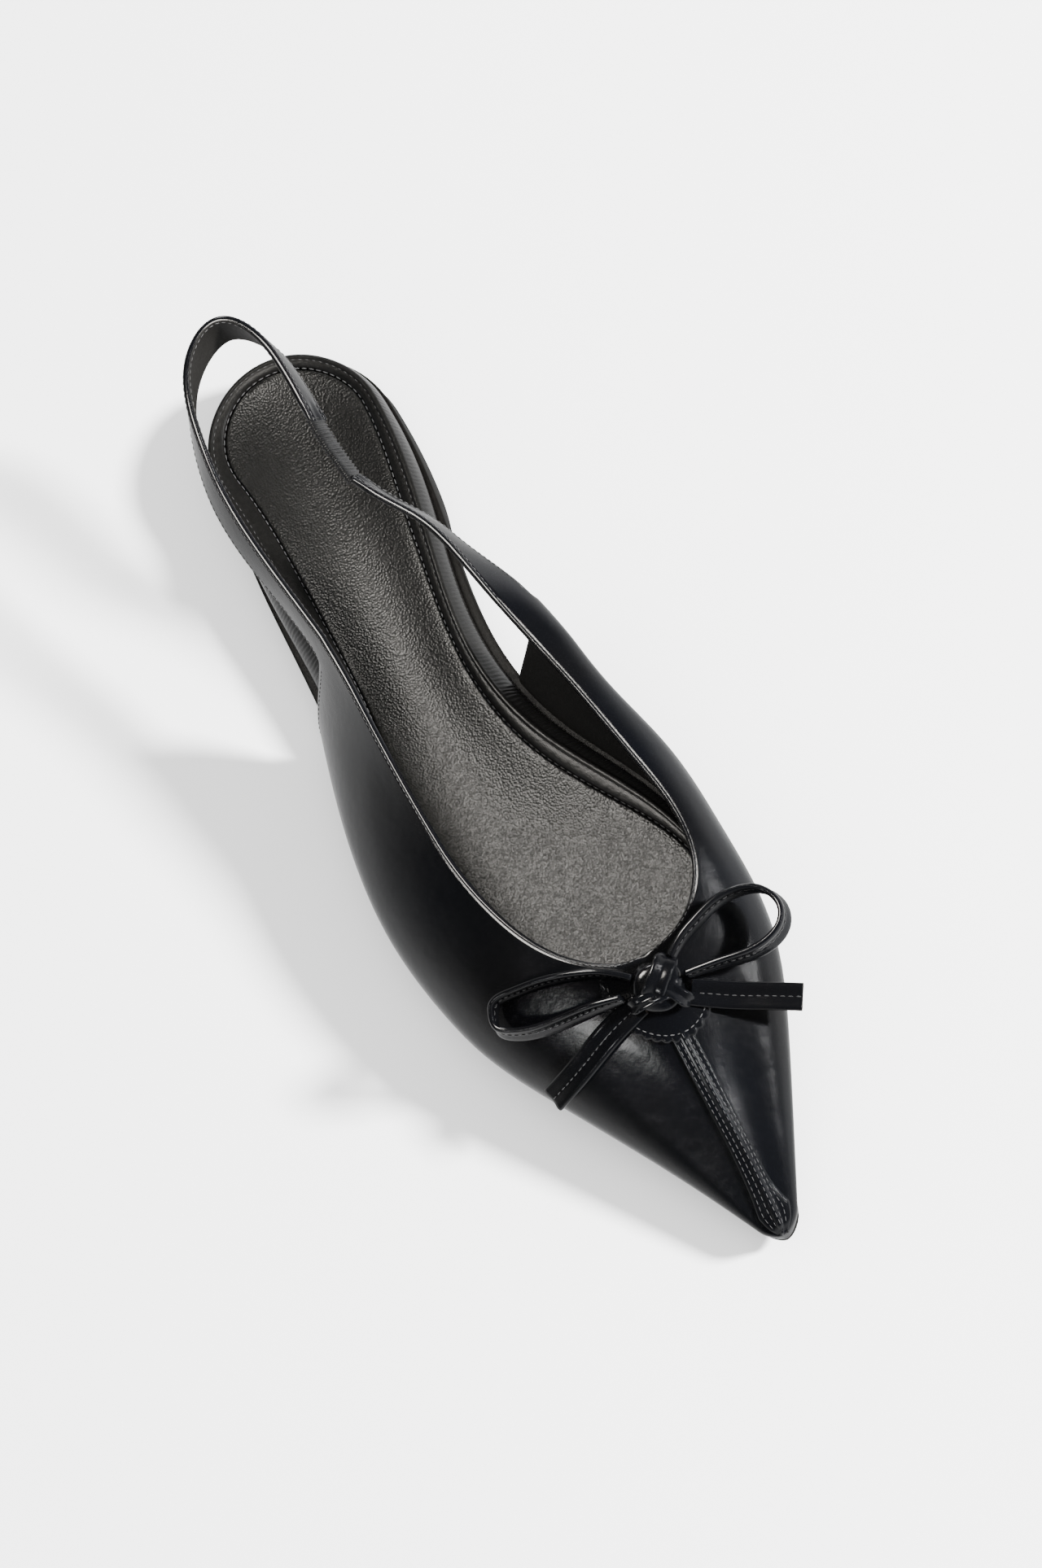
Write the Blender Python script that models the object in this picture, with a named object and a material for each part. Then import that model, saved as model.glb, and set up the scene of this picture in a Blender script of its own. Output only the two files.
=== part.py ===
"""A right-foot ballet flat with a pointed toe, a sling strap and a ribbon bow.

The shoe stands on the floor plane, toe towards +Y, outer side towards +X.
Places along the shoe are shares of its length, 0 at the back of the heel and 1 at the tip.
A travel value runs round the sole's edge instead: 0 to 1 round the heel, 1 to 2 along the
side and 2 to 3 round the tip, so that both ends come out round.
"""
import math

import bmesh
import bpy
import numpy as np
from mathutils import Matrix, Vector

MM = 0.001

# Sole sizes
LENGTH = 271.0 * MM
BALL_WIDTH = 77.0 * MM
HEEL_WIDTH = 53.0 * MM
HEEL_LIFT = 9.0 * MM
SOLE_THICKNESS = 3.4 * MM
WAIST_RISE = 4.4 * MM
TOE_SPRING = 5.0 * MM
SOLE_EDGE_ROUND = 0.8 * MM

# Footbed and sock sizes
HEEL_PAD = 7.7 * MM
BALL_PAD = 3.8 * MM
RIM_ROUND = 0.8 * MM
MARGIN_DROP = 1.4 * MM
DISH_DEPTH = 2.6 * MM
SOCK_THICKNESS = 1.2 * MM
FOOTBED_REACH = 5.0 * MM
RECESS_REACH = 2.5 * MM

# Upper sizes
WALL = 1.8 * MM
TIP_HOLLOW = 0.5
FEATHER_INSET = 0.3 * MM
GIRTH_WIDTH = 85.0 * MM
VAMP_HEIGHT = 37.0 * MM

# Strap sizes
STRAP_WIDTH = 10.5 * MM
STRAP_THICKNESS = 2.0 * MM
STRAP_HEIGHT = 59.0 * MM
ELASTIC_WIDTH = 8.5 * MM
ELASTIC_THICKNESS = 2.6 * MM

# Seam and bow sizes
SEAM_WIDTH = 5.4 * MM
SEAM_THICKNESS = 0.9 * MM
RIBBON_WIDTH = 6.8 * MM
RIBBON_THICKNESS = 1.5 * MM
KNOT_LENGTH = 13.0 * MM
KNOT_WIDTH = 11.5 * MM
KNOT_HEIGHT = 6.5 * MM
LOOP_REACH = 38.0 * MM

# Clearance between pieces that touch on the real shoe, and at the curved ends of the strap
GAP = 0.3 * MM
END_GAP = 0.5 * MM

# Sole outline: its inner and outer edge, measured across from the centre line.
# Rows of the heel are shares of HEEL_WIDTH, rows of the forefoot shares of BALL_WIDTH.
HEEL_OUTLINE = (
    # along, inner, outer
    (0.00, -0.470, 0.470),
    (0.05, -0.477, 0.478),
    (0.10, -0.482, 0.482),
    (0.19, -0.450, 0.528),
    (0.28, -0.360, 0.568),
    (0.37, -0.304, 0.620),
)
BALL_OUTLINE = (
    # along, inner, outer
    (0.46, -0.260, 0.478),
    (0.55, -0.392, 0.523),
    (0.63, -0.464, 0.526),
    (0.70, -0.465, 0.478),
    (0.78, -0.405, 0.364),
    (0.86, -0.274, 0.236),
    (0.93, -0.156, 0.128),
    (1.00, -0.046, 0.034),
)
HEEL_ROUND = 0.10
TOE_ROUND = 0.985

# Footbed: how far its rim and the sock's edge lie inside the sole's edge, shares of HEEL_WIDTH.
FOOTBED_MARGINS = (
    # along, inner rim, outer rim, inner sock, outer sock
    (0.00, 0.026, 0.026, 0.092, 0.092),
    (0.05, 0.026, 0.030, 0.092, 0.112),
    (0.10, 0.027, 0.045, 0.094, 0.150),
    (0.19, 0.050, 0.095, 0.136, 0.206),
    (0.28, 0.074, 0.138, 0.146, 0.224),
    (0.37, 0.102, 0.150, 0.168, 0.234),
    (0.46, 0.112, 0.132, 0.200, 0.212),
    (0.55, 0.096, 0.096, 0.184, 0.166),
    (0.63, 0.072, 0.072, 0.122, 0.118),
    (0.72, 0.062, 0.062, 0.092, 0.092),
    (1.00, 0.060, 0.060, 0.084, 0.084),
)
FOOTBED_END = 0.93

# Last: how the upper stands over the sole's outline.
# Overhangs and places across are shares of GIRTH_WIDTH, heights are shares of VAMP_HEIGHT.
LAST_INNER = (
    # along, overhang, widest height, shoulder across, shoulder height
    (0.30, 0.165, 0.90, -0.270, 1.20),
    (0.36, 0.166, 0.80, -0.279, 1.17),
    (0.43, 0.166, 0.69, -0.310, 1.10),
    (0.50, 0.118, 0.60, -0.348, 1.03),
    (0.57, 0.082, 0.53, -0.376, 0.985),
    (0.65, 0.048, 0.49, -0.396, 0.955),
    (0.72, 0.052, 0.46, -0.344, 0.885),
    (0.80, 0.058, 0.42, -0.250, 0.760),
    (0.87, 0.052, 0.37, -0.156, 0.620),
    (0.94, 0.030, 0.31, -0.076, 0.455),
    (1.00, 0.004, 0.255, -0.016, 0.295),
)
LAST_OUTER = (
    # along, overhang, widest height, shoulder across, shoulder height
    (0.30, -0.030, 0.40, 0.200, 1.24),
    (0.36, 0.012, 0.39, 0.202, 1.19),
    (0.43, 0.043, 0.40, 0.214, 1.11),
    (0.50, 0.053, 0.42, 0.224, 1.035),
    (0.57, 0.048, 0.42, 0.227, 0.990),
    (0.65, 0.036, 0.405, 0.232, 0.935),
    (0.72, 0.040, 0.39, 0.225, 0.845),
    (0.80, 0.032, 0.365, 0.160, 0.725),
    (0.87, 0.022, 0.335, 0.100, 0.590),
    (0.94, 0.014, 0.295, 0.050, 0.435),
    (1.00, 0.004, 0.255, 0.016, 0.295),
)
LAST_RIDGE = (
    # along, across, height
    (0.30, 0.060, 1.90),
    (0.36, 0.020, 1.70),
    (0.43, -0.044, 1.50),
    (0.50, -0.066, 1.34),
    (0.57, -0.088, 1.20),
    (0.65, -0.108, 1.085),
    (0.72, -0.112, 1.010),
    (0.80, -0.085, 0.890),
    (0.87, -0.062, 0.715),
    (0.94, -0.038, 0.500),
    (1.00, -0.006, 0.315),
)
# Where the last's columns lie round its section, from the inner feather over to the outer one.
TURNS = (0.0, 0.20, 0.60, 1.0, 1.55, 2.02, 2.26)
RIDGE_TURN = TURNS[3]

# Opening of the upper. Each side runs from its rear edge to the front of the throat.
THROAT_FRONT = 0.741
THROAT_FOOT = 0.79
KNOT_ALONG = 0.773
KNOT_TURN = 34.0
SEAM_START = 0.802
OPENING = {
    # side: feather turn, topline turn, rear top, rear foot, start of the sweep, sweep roundness
    "inner": (TURNS[0], TURNS[2], 0.385, 0.405, 0.662, 0.80),
    "outer": (TURNS[6], TURNS[4], 0.325, 0.370, 0.540, 1.00),
}

# Sling strap, from the outer quarter round the heel: middle of the band and how it stands.
# Across in shares of HEEL_WIDTH, along in shares of LENGTH, height in shares of STRAP_HEIGHT,
# lean in degrees, positive where the top edge leans away from the foot, width in STRAP_WIDTH.
BACK_STRAP = (
    # across, along, height, lean, width
    (0.360, 0.279, 0.715, -22, 1.00),
    (0.387, 0.212, 0.780, -28, 1.00),
    (0.377, 0.160, 0.847, -30, 1.00),
    (0.321, 0.116, 0.924, -24, 1.00),
    (0.226, 0.072, 0.975, -10, 1.00),
    (0.094, 0.044, 0.992, 4, 1.00),
    (-0.075, 0.035, 0.992, 10, 1.00),
    (-0.192, 0.061, 0.966, 0, 0.96),
    (-0.223, 0.101, 0.915, -8, 0.88),
    (-0.215, 0.135, 0.873, -14, 0.80),
    (-0.204, 0.153, 0.847, -16, 0.77),
)
ELASTIC_PATH = (
    # across, along, height, lean, width
    (-0.203, 0.1555, 0.844, -16, 1.00),
    (-0.200, 0.184, 0.810, -17, 1.00),
    (-0.207, 0.2105, 0.780, -18, 1.00),
)
FRONT_STRAP = (
    # across, along, height, lean, width
    (-0.209, 0.213, 0.777, -18, 0.77),
    (-0.292, 0.248, 0.746, -15, 0.80),
    (-0.387, 0.284, 0.716, -14, 0.86),
    (-0.450, 0.325, 0.675, -20, 0.94),
)

# Ribbon bow: middles of its bands, measured from the middle of the knot in shares of LOOP_REACH.
# A band with no lean stands on edge. At 90 degrees it lies flat.
OUTER_LOOP = (
    # out, forward, rise, lean, width
    (0.110, -0.128, 0.016, 0, 0.62),
    (0.238, -0.245, 0.034, 0, 0.90),
    (0.424, -0.359, 0.026, 0, 1.00),
    (0.629, -0.457, -0.022, 0, 1.00),
    (0.808, -0.523, -0.085, 2, 1.00),
    (0.967, -0.543, -0.143, 4, 1.00),
    (1.016, -0.492, -0.170, 4, 1.00),
    (1.034, -0.405, -0.182, 6, 1.00),
    (0.976, -0.334, -0.175, 8, 1.00),
    (0.810, -0.238, -0.138, 10, 1.00),
    (0.603, -0.172, -0.085, 10, 1.00),
    (0.400, -0.108, -0.010, 8, 0.90),
    (0.228, -0.052, 0.020, 4, 0.60),
)
INNER_LOOP = (
    # out, forward, rise, lean, width
    (-0.168, -0.108, 0.008, 0, 0.62),
    (-0.311, -0.183, 0.005, 0, 0.90),
    (-0.433, -0.221, -0.004, 0, 1.00),
    (-0.584, -0.256, -0.012, 0, 1.00),
    (-0.740, -0.245, -0.024, 0, 1.00),
    (-0.856, -0.190, -0.032, -4, 1.00),
    (-0.920, -0.099, -0.037, -6, 1.00),
    (-0.931, 0.010, -0.037, -6, 1.00),
    (-0.871, 0.109, -0.032, -8, 1.00),
    (-0.760, 0.156, -0.026, -8, 1.00),
    (-0.614, 0.154, -0.022, -6, 1.00),
    (-0.446, 0.107, -0.012, -4, 0.90),
    (-0.192, 0.038, 0.000, 0, 0.60),
)
OUTER_TAIL = (
    # out, forward, rise, lean, width
    (0.158, 0.012, -0.073, 98, 0.90),
    (0.429, 0.039, -0.142, 102, 1.00),
    (0.643, 0.070, -0.245, 100, 1.00),
    (0.818, 0.091, -0.335, 100, 1.00),
    (0.993, 0.098, -0.440, 98, 1.00),
)
INNER_TAIL = (
    # out, forward, rise, lean, width
    (-0.145, 0.112, -0.120, 74, 0.96),
    (-0.270, 0.197, -0.175, 76, 1.00),
    (-0.372, 0.268, -0.206, 80, 1.00),
    (-0.547, 0.383, -0.234, 84, 1.00),
    (-0.720, 0.500, -0.261, 86, 1.00),
)

LEATHER = ("black polished leather", (0.006, 0.006, 0.007), 0.14)
LINING = ("black sock leather", (0.020, 0.019, 0.018), 0.42)
RUBBER = ("black sole rubber", (0.012, 0.012, 0.012), 0.55)


def smooth_step(where, low, high):
    """Rise from 0 at low to 1 at high without a corner."""
    share = min(max((where - low) / (high - low), 0.0), 1.0)
    return share * share * (3.0 - 2.0 * share)


def natural_spline(knots, values):
    """Return the smooth curve through values at knots."""
    knots = np.asarray(knots, float)
    values = np.asarray(values, float)
    spans = np.diff(knots)
    count = len(knots)
    system = np.eye(count)
    pull = np.zeros_like(values)
    for i in range(1, count - 1):
        system[i, i - 1:i + 2] = spans[i - 1], 2.0 * (spans[i - 1] + spans[i]), spans[i]
        ahead = (values[i + 1] - values[i]) / spans[i]
        behind = (values[i] - values[i - 1]) / spans[i - 1]
        pull[i] = 6.0 * (ahead - behind)
    bend = np.linalg.solve(system, pull)

    def curve(where):
        i = min(max(int(np.searchsorted(knots, where)) - 1, 0), count - 2)
        near = (knots[i + 1] - where) / spans[i]
        far = 1.0 - near
        sag = (near ** 3 - near) * bend[i] + (far ** 3 - far) * bend[i + 1]
        return near * values[i] + far * values[i + 1] + sag * spans[i] ** 2 / 6.0

    return curve


def table_curve(table, scales):
    """Read a table whose first column is the place along the shoe."""
    rows = np.array([row[1:] for row in table], float) * np.array(scales)
    return natural_spline([row[0] for row in table], rows)


def joined_outline():
    rows = [(row[0], row[1] * HEEL_WIDTH, row[2] * HEEL_WIDTH) for row in HEEL_OUTLINE]
    rows += [(row[0], row[1] * BALL_WIDTH, row[2] * BALL_WIDTH) for row in BALL_OUTLINE]
    return table_curve(rows, [1.0, 1.0])


outline_curve = joined_outline()
margin_curve = table_curve(FOOTBED_MARGINS, [HEEL_WIDTH] * 4)
last_inner = table_curve(LAST_INNER, [GIRTH_WIDTH, VAMP_HEIGHT] * 2)
last_outer = table_curve(LAST_OUTER, [GIRTH_WIDTH, VAMP_HEIGHT] * 2)
last_ridge = table_curve(LAST_RIDGE, [GIRTH_WIDTH, VAMP_HEIGHT])


def along_of(travel):
    """Place along the shoe for a travel value."""
    if travel < 1.0:
        return HEEL_ROUND * (1.0 - math.cos(0.5 * math.pi * travel))
    if travel > 2.0:
        return TOE_ROUND + (1.0 - TOE_ROUND) * math.sin(0.5 * math.pi * (travel - 2.0))
    return HEEL_ROUND + (TOE_ROUND - HEEL_ROUND) * (travel - 1.0)


def travel_of(along):
    """Travel value for a place along the side of the shoe."""
    return 1.0 + (along - HEEL_ROUND) / (TOE_ROUND - HEEL_ROUND)


def roundness(travel):
    """How much of its full width the outline has at the two round ends."""
    if travel < 1.0:
        return math.sin(0.5 * math.pi * travel)
    if travel > 2.0:
        return math.cos(0.5 * math.pi * (travel - 2.0))
    return 1.0


def along_y(along):
    return (along - 0.5) * LENGTH


def sole_edge(travel, side):
    """Point on the sole's edge in plan, side 0 being the inner one."""
    along = along_of(travel)
    return np.array((outline_curve(along)[side] * roundness(travel), along_y(along)))


def inset_edge(travel, side, inset):
    """Point that lies an inset inside the sole's edge."""
    small = 1e-3
    run = sole_edge(travel + small, side) - sole_edge(travel - small, side)
    run = run / np.linalg.norm(run)
    inward = np.array((run[1], -run[0])) if side == 0 else np.array((-run[1], run[0]))
    return sole_edge(travel, side) + inward * inset


def toe_lift(along):
    rise = max(along - 0.72, 0.0) / 0.28
    return TOE_SPRING * rise * rise


def sole_bottom(along):
    waist = smooth_step(along, 0.205, 0.262) * (1.0 - smooth_step(along, 0.33, 0.53))
    return WAIST_RISE * waist + toe_lift(along)


def sole_top(along):
    heel = (HEEL_LIFT - SOLE_THICKNESS) * (1.0 - smooth_step(along, 0.18, 0.56))
    return SOLE_THICKNESS + heel + toe_lift(along)


def rim_height(along):
    """Top of the footbed's rim over the floor."""
    pad = BALL_PAD + (HEEL_PAD - BALL_PAD) * (1.0 - smooth_step(along, 0.36, 0.62))
    return sole_top(along) + GAP + pad


def spread(first, last, count):
    return [first + (last - first) * i / count for i in range(count + 1)]


def make_material(name, color, roughness):
    if name in bpy.data.materials:
        return bpy.data.materials[name]
    material = bpy.data.materials.new(name)
    material.use_nodes = True
    shader = material.node_tree.nodes["Principled BSDF"]
    shader.inputs["Base Color"].default_value = (*color, 1.0)
    shader.inputs["Roughness"].default_value = roughness
    shader.inputs["Metallic"].default_value = 0.0
    return material


def finish_object(name, work, material, smooth_angle=40.0):
    """Turn a bmesh into a closed object that faces outwards and has its material."""
    bmesh.ops.remove_doubles(work, verts=work.verts, dist=0.002 * MM)
    bmesh.ops.dissolve_degenerate(work, edges=work.edges, dist=0.001 * MM)
    bmesh.ops.triangulate(work, faces=[face for face in work.faces if len(face.verts) > 3])
    bmesh.ops.recalc_face_normals(work, faces=work.faces)
    mesh = bpy.data.meshes.new(name)
    work.to_mesh(mesh)
    work.free()
    mesh.shade_smooth()
    mesh.set_sharp_from_angle(angle=math.radians(smooth_angle))
    mesh.materials.append(make_material(*material))
    piece = bpy.data.objects.new(name, mesh)
    bpy.context.scene.collection.objects.link(piece)
    return piece


def loft(name, rings, material, capped=False):
    """Join closed rings of points into one solid."""
    work = bmesh.new()
    grid = [[work.verts.new(point) for point in ring] for ring in rings]
    count = len(grid[0])
    for near, far in zip(grid, grid[1:]):
        for k in range(count):
            n = (k + 1) % count
            work.faces.new((near[k], near[n], far[n], far[k]))
    if capped:
        work.faces.new(grid[0])
        work.faces.new(list(reversed(grid[-1])))
    return finish_object(name, work, material)


# Sole


def between(inner, outer, share, height):
    """A point on the line across the shoe from an inner to an outer edge point."""
    x, y = inner + (outer - inner) * share
    return (x, y, height)


def outsole_ring(travel):
    along = along_of(travel)
    bottom = sole_bottom(along)
    top = sole_top(along)
    inner, outer = sole_edge(travel, 0), sole_edge(travel, 1)
    low_in, low_out = (inset_edge(travel, side, SOLE_EDGE_ROUND) for side in (0, 1))
    high_in, high_out = (inset_edge(travel, side, 0.5 * SOLE_EDGE_ROUND) for side in (0, 1))
    return [
        between(low_in, low_out, 0.0, bottom), between(low_in, low_out, 0.5, bottom),
        between(low_in, low_out, 1.0, bottom),
        (*outer, bottom + SOLE_EDGE_ROUND), (*outer, top - 0.5 * SOLE_EDGE_ROUND),
        between(high_in, high_out, 1.0, top), between(high_in, high_out, 0.5, top),
        between(high_in, high_out, 0.0, top),
        (*inner, top - 0.5 * SOLE_EDGE_ROUND), (*inner, bottom + SOLE_EDGE_ROUND),
    ]


DISH_STEPS = 6


def dish_line(inner, outer, height, depth, first, last):
    """Points of a hollow line across the shoe, from share first to share last."""
    points = []
    for share in spread(first, last, DISH_STEPS):
        hollow = (4.0 * share * (1.0 - share)) ** 1.5
        points.append(between(inner, outer, share, height - depth * hollow))
    return points


def footbed_foot(along):
    """How far the footbed's bottom edge lies inside the sole's edge."""
    beside_wall = FEATHER_INSET + WALL + GAP
    return beside_wall * (0.25 + 0.75 * smooth_step(along, 0.12, 0.36))


def footbed_shape(travel):
    """Edges and heights that the footbed and the sock share at one place."""
    along = along_of(travel)
    rim_in, rim_out, sock_in, sock_out = margin_curve(along)
    foot = footbed_foot(along)
    rim = rim_height(along)
    hollow = (1.0 - 0.72 * smooth_step(along, 0.35, 0.65)) * (1.0 - smooth_step(along, 0.80, FOOTBED_END))
    return {
        "foot": (inset_edge(travel, 0, foot), inset_edge(travel, 1, foot)),
        "rim": (inset_edge(travel, 0, rim_in), inset_edge(travel, 1, rim_out)),
        "crown": (inset_edge(travel, 0, rim_in + RIM_ROUND), inset_edge(travel, 1, rim_out + RIM_ROUND)),
        "sock": (inset_edge(travel, 0, sock_in), inset_edge(travel, 1, sock_out)),
        "sock in recess": (inset_edge(travel, 0, sock_in + GAP), inset_edge(travel, 1, sock_out + GAP)),
        "rim height": rim,
        "sock height": rim - MARGIN_DROP * (1.0 - 0.5 * smooth_step(along, 0.4, 0.65)),
        "dish": DISH_DEPTH * hollow * roundness(travel),
    }


def footbed_ring(travel):
    shape = footbed_shape(travel)
    bottom = sole_top(along_of(travel)) + GAP
    rim = shape["rim height"]
    floor = shape["sock height"] - SOCK_THICKNESS - GAP
    foot_in, foot_out = shape["foot"]
    rim_in, rim_out = shape["rim"]
    crown_in, crown_out = shape["crown"]
    sock_in, sock_out = shape["sock"]
    flank = bottom + 0.55 * (rim - bottom)
    flank_in = foot_in + 0.30 * (rim_in - foot_in)
    flank_out = foot_out + 0.30 * (rim_out - foot_out)
    return [
        (*foot_in, bottom), between(foot_in, foot_out, 0.5, bottom), (*foot_out, bottom),
        (*flank_out, flank), (*rim_out, rim - 0.6 * RIM_ROUND), (*crown_out, rim),
        (*sock_out, shape["sock height"]),
        *dish_line(sock_in, sock_out, floor, shape["dish"], 1.0, 0.0),
        (*sock_in, shape["sock height"]),
        (*crown_in, rim), (*rim_in, rim - 0.6 * RIM_ROUND), (*flank_in, flank),
    ]


def sock_ring(travel):
    shape = footbed_shape(travel)
    inner, outer = shape["sock in recess"]
    top = shape["sock height"]
    low = dish_line(inner, outer, top - SOCK_THICKNESS, shape["dish"], 0.0, 1.0)
    high = dish_line(inner, outer, top, shape["dish"], 1.0, 0.0)
    return low + high


def pointed_end(ring, reaches):
    """Bring the last ring together on the centre line, each point its own reach further on."""
    centre = sum(point[0] for point in ring) / len(ring)
    furthest = max(point[1] for point in ring)
    lifts = [toe_lift(FOOTBED_END + reach / LENGTH) - toe_lift(FOOTBED_END) for reach in reaches]
    return [
        (centre, furthest + reach, point[2] + lift)
        for point, reach, lift in zip(ring, reaches, lifts)
    ]


def shoe_travels(last):
    return spread(0.0, 1.0, 8)[:-1] + spread(1.0, last, 26)


def outsole_travels():
    return shoe_travels(2.0) + spread(2.0, 3.0, 4)[1:]


def footbed_rings(ring_at, reaches):
    rings = [ring_at(travel) for travel in shoe_travels(travel_of(FOOTBED_END))]
    return rings + [pointed_end(rings[-1], reaches)]


def sole_pieces():
    loft("outsole", [outsole_ring(travel) for travel in outsole_travels()], RUBBER)
    recess = [RECESS_REACH] * (DISH_STEPS + 3)
    footbed_reaches = [FOOTBED_REACH] * 6 + recess + [FOOTBED_REACH] * 3
    loft("footbed", footbed_rings(footbed_ring, footbed_reaches), LEATHER)
    sock_reaches = [RECESS_REACH - GAP] * (2 * DISH_STEPS + 2)
    loft("insole_sock", footbed_rings(sock_ring, sock_reaches), LINING)


# Upper


def last_section(travel):
    """Section of the last across the shoe, from the inner feather over to the outer one."""
    along = along_of(travel)
    tip = roundness(travel) if travel > 2.0 else 1.0
    inner, outer = outline_curve(along)
    over_in, wide_in, shoulder_in, high_in = last_inner(along)
    over_out, wide_out, shoulder_out, high_out = last_outer(along)
    ridge, top = last_ridge(along)
    ridge = ridge * tip
    feather = sole_top(along) + GAP
    points = [
        ((inner + FEATHER_INSET) * tip, feather),
        ((inner - over_in) * tip, wide_in),
        (shoulder_in * tip, high_in),
        (ridge, top),
        (shoulder_out * tip, high_out),
        ((outer + over_out) * tip, wide_out),
        ((outer - FEATHER_INSET) * tip, feather),
    ]
    return natural_spline(TURNS, points)


section_cache = {}


def last_point(travel, turn):
    key = round(travel, 9)
    if key not in section_cache:
        section_cache[key] = last_section(travel)
    x, z = section_cache[key](turn)
    return np.array((x, along_y(along_of(travel)), z))


def last_normal(travel, turn):
    """Outward direction of the last at one place."""
    small = 1e-3
    toeward = last_point(travel + small, turn) - last_point(travel - small, turn)
    over = last_point(travel, turn + small) - last_point(travel, turn - small)
    normal = np.cross(over, toeward)
    size = np.linalg.norm(normal)
    if size < 1e-12:
        return np.array((0.0, 1.0, 0.0))
    return normal / size


def opening_rows(side, rear_rows, sweep_rows):
    """Rows of one quarter: travel and turn at the feather and at the topline, and their bow."""
    feather, topline, rear_top, rear_foot, sweep_start, roundness = OPENING[side]
    tops = [(along, topline) for along in spread(rear_top, sweep_start, rear_rows)[:-1]]
    for i in range(sweep_rows + 1):
        angle = 0.5 * math.pi * i / sweep_rows
        along = sweep_start + (THROAT_FRONT - sweep_start) * math.sin(angle) ** roundness
        tops.append((along, RIDGE_TURN + (topline - RIDGE_TURN) * math.cos(angle) ** roundness))
    path = [last_point(travel_of(along), turn) for along, turn in tops]
    lengths = [0.0]
    for near, far in zip(path, path[1:]):
        lengths.append(lengths[-1] + float(np.linalg.norm(far - near)))
    rows = []
    for (along, turn), run in zip(tops, lengths):
        share = run / lengths[-1]
        foot = rear_foot + (THROAT_FOOT - rear_foot) * share
        rows.append((travel_of(foot), feather, travel_of(along), turn, 1.0 + (1.0 - share) ** 2))
    return rows


def vamp_rows(side, side_rows, tip_rows):
    """Rows of one half of the vamp, from the throat to the tip of the toe."""
    feather = OPENING[side][0]
    top_first, foot_first = travel_of(THROAT_FRONT), travel_of(THROAT_FOOT)
    rows = []
    for i in range(1, side_rows + 1):
        share = i / side_rows
        top = top_first + (2.0 - top_first) * share
        foot = foot_first + (2.0 - foot_first) * share
        rows.append((foot, feather, top, RIDGE_TURN, 1.0))
    for travel in spread(2.0, 3.0, tip_rows)[1:]:
        rows.append((travel, feather, travel, RIDGE_TURN, 1.0))
    return rows


def ridge_line(travel):
    """Across place and height of the last's ridge."""
    across, height = last_ridge(along_of(travel))
    return across * (roundness(travel) if travel > 2.0 else 1.0), height


def tip_point(travel, outer, depth):
    """Where the inside of the wall lies close to the tip, where it is stiffened and thick."""
    centre, top = ridge_line(travel)
    feather = sole_top(along_of(travel)) + GAP
    lower = 1.0 - depth / (top - feather)
    x, y, z = outer
    return np.array((centre + TIP_HOLLOW * (x - centre), y - 2.0 * depth, feather + lower * (z - feather)))


def wall_point(travel, turn, depth, at_feather=False):
    """A point at a depth inside the last's surface, kept on its own side of the ridge."""
    outer = last_point(travel, turn)
    normal = last_normal(travel, turn)
    if at_feather:
        normal[2] = 0.0
        normal = normal / np.linalg.norm(normal)
    place = outer - normal * depth
    ridge = ridge_line(travel)[0]
    side = outer[0] - ridge
    share = 1.0 if turn == RIDGE_TURN else max((place[0] - ridge) / side, TIP_HOLLOW)
    place[0] = ridge + side * share
    near_tip = smooth_step(along_of(travel), 0.95, 0.985)
    return place + near_tip * (tip_point(travel, outer, depth) - place)


UPPER_COLUMNS = 9


def nose_points(depth):
    """The upright line where both halves of the wall meet at the tip."""
    foot = last_point(3.0, OPENING["inner"][0])
    top = last_point(3.0, RIDGE_TURN)
    back = np.array((0.0, 2.0 * depth, 0.0))
    drop = np.array((0.0, 0.0, depth))
    return [foot + (top - drop - foot) * k / UPPER_COLUMNS - back for k in range(UPPER_COLUMNS + 1)]


def row_point(row, share, depth):
    """A point of one row: share 0 at the feather and 1 at the topline."""
    foot_travel, foot_turn, top_travel, top_turn, bow = row
    travel = foot_travel + (top_travel - foot_travel) * (1.0 - (1.0 - share) ** bow)
    turn = top_turn if share == 1.0 else foot_turn + (top_turn - foot_turn) * share
    return wall_point(travel, turn, depth, share == 0.0) if depth else last_point(travel, turn)


def row_points(row, depth):
    if row[0] >= 3.0:
        return nose_points(depth)
    return [row_point(row, k / UPPER_COLUMNS, depth) for k in range(UPPER_COLUMNS + 1)]


def upper_piece():
    """One wall from the feather up to the topline and over the toe."""
    work = bmesh.new()

    def sheet(rows, depth):
        return [[work.verts.new(point) for point in row_points(row, depth)] for row in rows]

    def skin(grid, flip):
        for near, far in zip(grid, grid[1:]):
            for k in range(UPPER_COLUMNS):
                corners = (near[k], near[k + 1], far[k + 1], far[k])
                work.faces.new(tuple(reversed(corners)) if flip else corners)

    def rim(first_line, second_line):
        for k in range(len(first_line) - 1):
            work.faces.new((first_line[k], first_line[k + 1], second_line[k + 1], second_line[k]))

    for side, rear_rows, sweep_rows in (("inner", 8, 11), ("outer", 7, 13)):
        quarter = opening_rows(side, rear_rows, sweep_rows)
        rows = quarter + vamp_rows(side, 14, 4)
        outside = sheet(rows, 0.0)
        inside = sheet(rows, WALL)
        skin(outside, side == "outer")
        skin(inside, side == "inner")
        rim([row[0] for row in outside], [row[0] for row in inside])
        topline = len(quarter)
        rim([row[-1] for row in outside[:topline]], [row[-1] for row in inside[:topline]])
        rim(outside[0], inside[0])
    return finish_object("upper", work, LEATHER, smooth_angle=50.0)


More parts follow.
